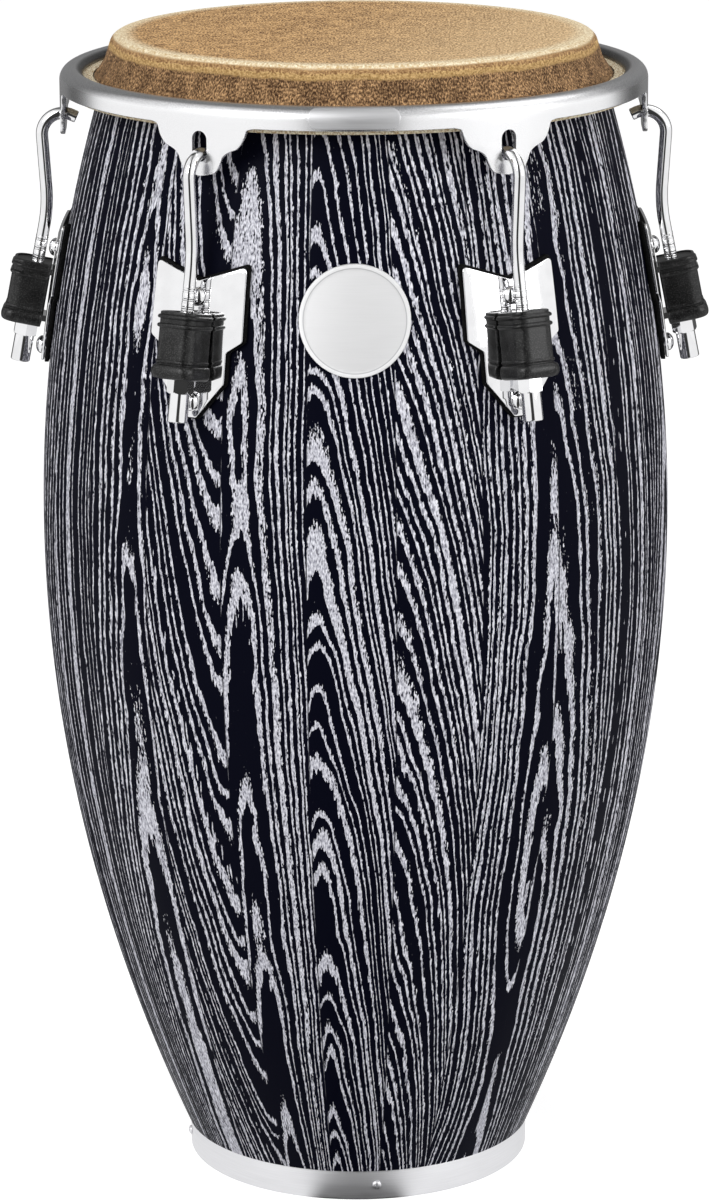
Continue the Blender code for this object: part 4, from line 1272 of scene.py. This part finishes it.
rim_mesh = with_finish(make_rim(), rim_chrome())
smooth(rim_mesh, RIM_CREASE)
add_piece("rolled_rim", rim_mesh, "rim", "chrome", "rim")
label_half = LABEL_HEIGHT / 2.0
label_end = LABEL_WIDTH / 2.0 - label_half
label_outline = arc((label_end, label_half), label_half, -90.0, 90.0, 16)
label_outline += arc((-label_end, label_half), label_half, 90.0, 270.0, 16)
brushing = (60.0, 60.0, 2600.0)
dull_plate = worn_steel("dull_plate", (0.66, 0.66, 0.67), 0.50, brushing, spread=0.05, relief=0.2)
label_sheet = bent_sheet(label_outline, LABEL_SHEET, LABEL_EDGE, LABEL_CELL, over_rim)
label_mesh = with_finish(label_sheet, dull_plate)
smooth(label_mesh, SHEET_CREASE)
add_piece("label_plate", label_mesh, "rim", "satin_chrome", "rim_label_plate")


# Tuning hooks: 8 mm steel rod, hooked over the bar of each ear, bent in to stand clear of the rim,
# threaded at the lower end and chromed. A long nut under each bracket pulls the hook down.
HOOK_BEND_RADIUS = 0.0138
HOOK_SWEEP = 115.0
HOOK_TAIL = 0.0035
HOOK_SEAT_GAP = 0.0008
LEG_LEAN = 3.5
KNEE_RADIUS = 0.100
ROD_END_INSET = 0.004
ROD_SIDES = 24
ROD_CHAMFER = 0.0006
THREAD_PITCH = 0.00125
THREAD_HEIGHT = 0.0004
THREAD_TOP = 0.0375
THREAD_STEPS = 20
THREAD_SIDES = 4
THREAD_SINK = 0.0001
NUT_HEX_HEIGHT = 0.012
NUT_BARREL_RADIUS = 0.00635
NUT_BARREL_LENGTH = 0.0177
NUT_CHAMFER = 0.0008
NUT_STOPS = (29.0, 12.0, 47.0, 21.0, 36.0, 2.0)
NUT_SIDES = 48
NUT_FOOT = BRACKET_HALF_HEIGHT + GAP + NUT_HEX_HEIGHT + NUT_BARREL_LENGTH


def hook_path():
    """The hook's centre line at the front, as (radius, height) points from its lower end up."""
    ear = (SKIRT_INNER + SKIRT_OUTER) / 2.0
    inner = HOOK_BEND_RADIUS - ROD_RADIUS
    seat = sqrt(inner ** 2 - (RIM_SHEET / 2.0) ** 2)
    centre = (ear, SKIRT_EDGE - SLOT_FLOOR_DROP + HOOK_SEAT_GAP - seat)
    lean = radians(LEG_LEAN)
    leg_top = Vector(centre) + HOOK_BEND_RADIUS * Vector((cos(lean), -sin(lean)))
    leg = Vector((-sin(lean), -cos(lean)))
    rod = Vector((sin(ROD_LEAN), -cos(ROD_LEAN)))
    base = Vector((ROD_RADIUS_AT_LUG, LUG_HEIGHT))
    knee = leg_top + leg * ((base - leg_top).cross(rod) / leg.cross(rod))
    turn = (pi - (-leg).angle(rod)) / 2.0
    reach = KNEE_RADIUS * tan(turn)
    bend_centre = knee + rod * reach - Vector((rod.y, -rod.x)) * KNEE_RADIUS
    start = knee + rod * reach - bend_centre
    points = [base + rod * share for share in evenly(NUT_FOOT - ROD_END_INSET, -THREAD_TOP, 10)]
    points += [bend_centre + Matrix.Rotation(-2.0 * turn * i / 14.0, 2) @ start for i in range(15)]
    points += [Vector(point) for point in arc(centre, HOOK_BEND_RADIUS, -LEG_LEAN, HOOK_SWEEP, 26)]
    tail = radians(HOOK_SWEEP + 90.0)
    points.append(points[-1] + HOOK_TAIL * Vector((cos(tail), sin(tail))))
    return points


def make_rod():
    """The bent rod at the front of the drum, its ends chamfered."""
    path = hook_path()
    rows = []
    for before, point, after in zip(path[:1] + path, path, path[1:] + path[-1:]):
        rows.append((point, (after - before).normalized(), ROD_RADIUS))
    (first, foot_way, _), (last, tail_way, _) = rows[0], rows[-1]
    rows[0] = (first + foot_way * ROD_CHAMFER, foot_way, ROD_RADIUS)
    rows[-1] = (last - tail_way * ROD_CHAMFER, tail_way, ROD_RADIUS)
    rows.insert(0, (first, foot_way, ROD_RADIUS - ROD_CHAMFER))
    rows.append((last, tail_way, ROD_RADIUS - ROD_CHAMFER))
    loops = []
    for point, along, radius in rows:
        loop = []
        for turn in full_turn(ROD_SIDES):
            place = point + Vector((along.y, -along.x)) * radius * cos(turn)
            loop.append(Vector((radius * sin(turn), -place.x, place.y)))
        loops.append(loop)
    return loops_mesh(loops)


def thread_tree():
    """A ridge that winds round the Z axis from 0 up: a thread."""
    labels = ("radius", "length", "pitch", "ridge")
    tree, given = new_tree("thread", **dict.fromkeys(labels, "Float"))
    radius, length, pitch, ridge = (Signal(given[label]) for label in labels)
    spiral = (THREAD_STEPS, length / pitch, radius, radius, length)
    coil = add_node(tree, "GeometryNodeCurveSpiral", *spiral)
    ring = add_node(tree, "GeometryNodeCurvePrimitiveCircle", THREAD_SIDES)
    feed(ring.inputs["Radius"], ridge)
    sweep = add_node(tree, "GeometryNodeCurveToMesh", coil.outputs[0], ring.outputs[0])
    feed(sweep.inputs["Fill Caps"], True)
    return close_tree(tree, given, sweep.outputs[0])


def make_thread(low, high):
    """The thread on a rod between two heights along its axis, at the front of the drum."""
    sizes = {"radius": ROD_RADIUS - THREAD_SINK, "length": high - low, "pitch": THREAD_PITCH}
    empty = bpy.data.meshes.new("start")
    made = make_with(threads, empty, finish=chrome, ridge=THREAD_HEIGHT, **sizes)
    made.transform(LUG_FRAME @ Matrix.Translation((0.0, 0.0, low)))
    return made


def nut_loop(z, radius, limit):
    """A loop of the nut: a hexagon of that half width, cut back to a circle of the limit."""
    points = []
    for turn in full_turn(NUT_SIDES):
        off = (turn + pi / 6.0) % (pi / 3.0) - pi / 6.0
        reach = min(radius / cos(off), limit)
        points.append((reach * cos(turn), reach * sin(turn), z))
    return points


def make_nut(stop):
    """A long nut, turned on its rod by the angle at which tuning has left it."""
    top = -BRACKET_HALF_HEIGHT - GAP
    hex_foot = top - NUT_HEX_HEIGHT
    foot = -NUT_FOOT
    flat = NUT_ACROSS_FLATS / 2.0
    point = flat / cos(pi / 6.0)
    barrel = NUT_BARREL_RADIUS
    bore = ROD_RADIUS + ROD_CLEARANCE
    soft = [(top - NUT_CHAMFER * i / 4.0, flat + (point - flat) * i / 4.0) for i in range(5)]
    loops = [nut_loop(z, flat, limit) for z, limit in soft]
    loops += [nut_loop(2.0 * top - NUT_HEX_HEIGHT - z, flat, limit) for z, limit in reversed(soft)]
    loops.append(nut_loop(hex_foot, barrel, barrel))
    corner = (barrel - NUT_CHAMFER, foot + NUT_CHAMFER)
    loops += [nut_loop(z, r, r) for r, z in arc(corner, NUT_CHAMFER, 0.0, -90.0, 4)]
    loops += [nut_loop(z, bore, bore) for z in (foot, top)]
    made = loops_mesh(loops, closed=True)
    made.transform(LUG_FRAME @ Matrix.Rotation(radians(stop), 4, "Z"))
    return made


threads = thread_tree()
hook_master = joined(make_rod(), make_thread(-NUT_FOOT + ROD_END_INSET, THREAD_TOP))
for lug, stop in enumerate(NUT_STOPS):
    turn = Matrix.Rotation(radians(FIRST_LUG_AZIMUTH) + tau * lug / LUG_COUNT, 4, "Z")
    hook_copy = hook_master.copy()
    for part, mesh, node in (("hook", hook_copy, "hook"), ("nut", make_nut(stop), "tuning_nut")):
        copy = with_finish(mesh, chrome)
        copy.transform(turn)
        smooth(copy)
        part, node = "%s_%d" % (part, lug + 1), "%s_%d" % (node, lug + 1)
        add_piece("long_" + part, copy, part, "chrome", node)


# Badge plate: a thin round plate of satin steel, stamped with a raised rim and bent to the front of
# the shell. Its face is left plain.
BADGE_RADIUS = 0.0347
BADGE_SHEET = 0.0012
BADGE_DROP = 0.152
BADGE_RIM = 0.0028
BADGE_RIM_RISE = 0.0003
BADGE_EDGE = 0.0004
BADGE_CELL = 0.0012
BADGE_HEIGHT = HEAD_HEIGHT - BADGE_DROP
BADGE_FACE = ((0.765, 0.765, 0.770), (0.795, 0.795, 0.800))
BADGE_RIM_HIGHLIGHT = (0.880, 0.880, 0.885)
BADGE_RIM_SHADOW_LINE = (0.580, 0.580, 0.590)


def on_badge(across, up, depth):
    """The bend of the badge plate, whose outer rim stands a little proud of its face."""
    out = hypot(across, up)
    if depth > BADGE_SHEET / 2.0 and BADGE_RADIUS - BADGE_RIM < out < BADGE_RADIUS - BADGE_RIM_RISE:
        depth += BADGE_RIM_RISE
    return on_shell(BADGE_HEIGHT, GAP)(across, up, depth)


def badge_satin():
    """Satin face inside a raised rim with a painted highlight, and a narrow painted shadow line
    where the rim rises.
    """
    made, shader, (x, y, z) = new_finish("badge_satin")
    past_face = distance(x, z - BADGE_HEIGHT) - (BADGE_RADIUS - BADGE_RIM)
    brush = grain_noise(x * 60.0, y * 60.0, z * 2600.0, 2.0)
    colour = blend(brush, *BADGE_FACE)
    # Painted highlight on the raised rim, and a narrow painted shadow line where it rises from the
    # face.
    colour = blend(ease(past_face, 0.0000, 0.0004), colour, BADGE_RIM_HIGHLIGHT)
    colour = blend(ease(past_face.size(), 0.0005, 0.0001), colour, BADGE_RIM_SHADOW_LINE)
    coat(shader, colour, brush * 0.06 + 0.60, 1.0)
    return made


badge_outline = arc((0.0, 0.0), BADGE_RADIUS, 0.0, 360.0, 96)[:-1]
badge_sheet = bent_sheet(badge_outline, BADGE_SHEET, BADGE_EDGE, BADGE_CELL, on_badge)
badge_mesh = with_finish(badge_sheet, badge_satin())
smooth(badge_mesh, SHEET_CREASE)
add_piece("badge_disc", badge_mesh, "drum", "satin_chrome", "badge_plate")


# Flesh hoop: a plain steel bar bent to a ring, which the wet hide is tucked round. It lies out of
# sight inside the tuck, so the frame's own solid is carried over.
with_finish(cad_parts["flesh_hoop"].data, steel)
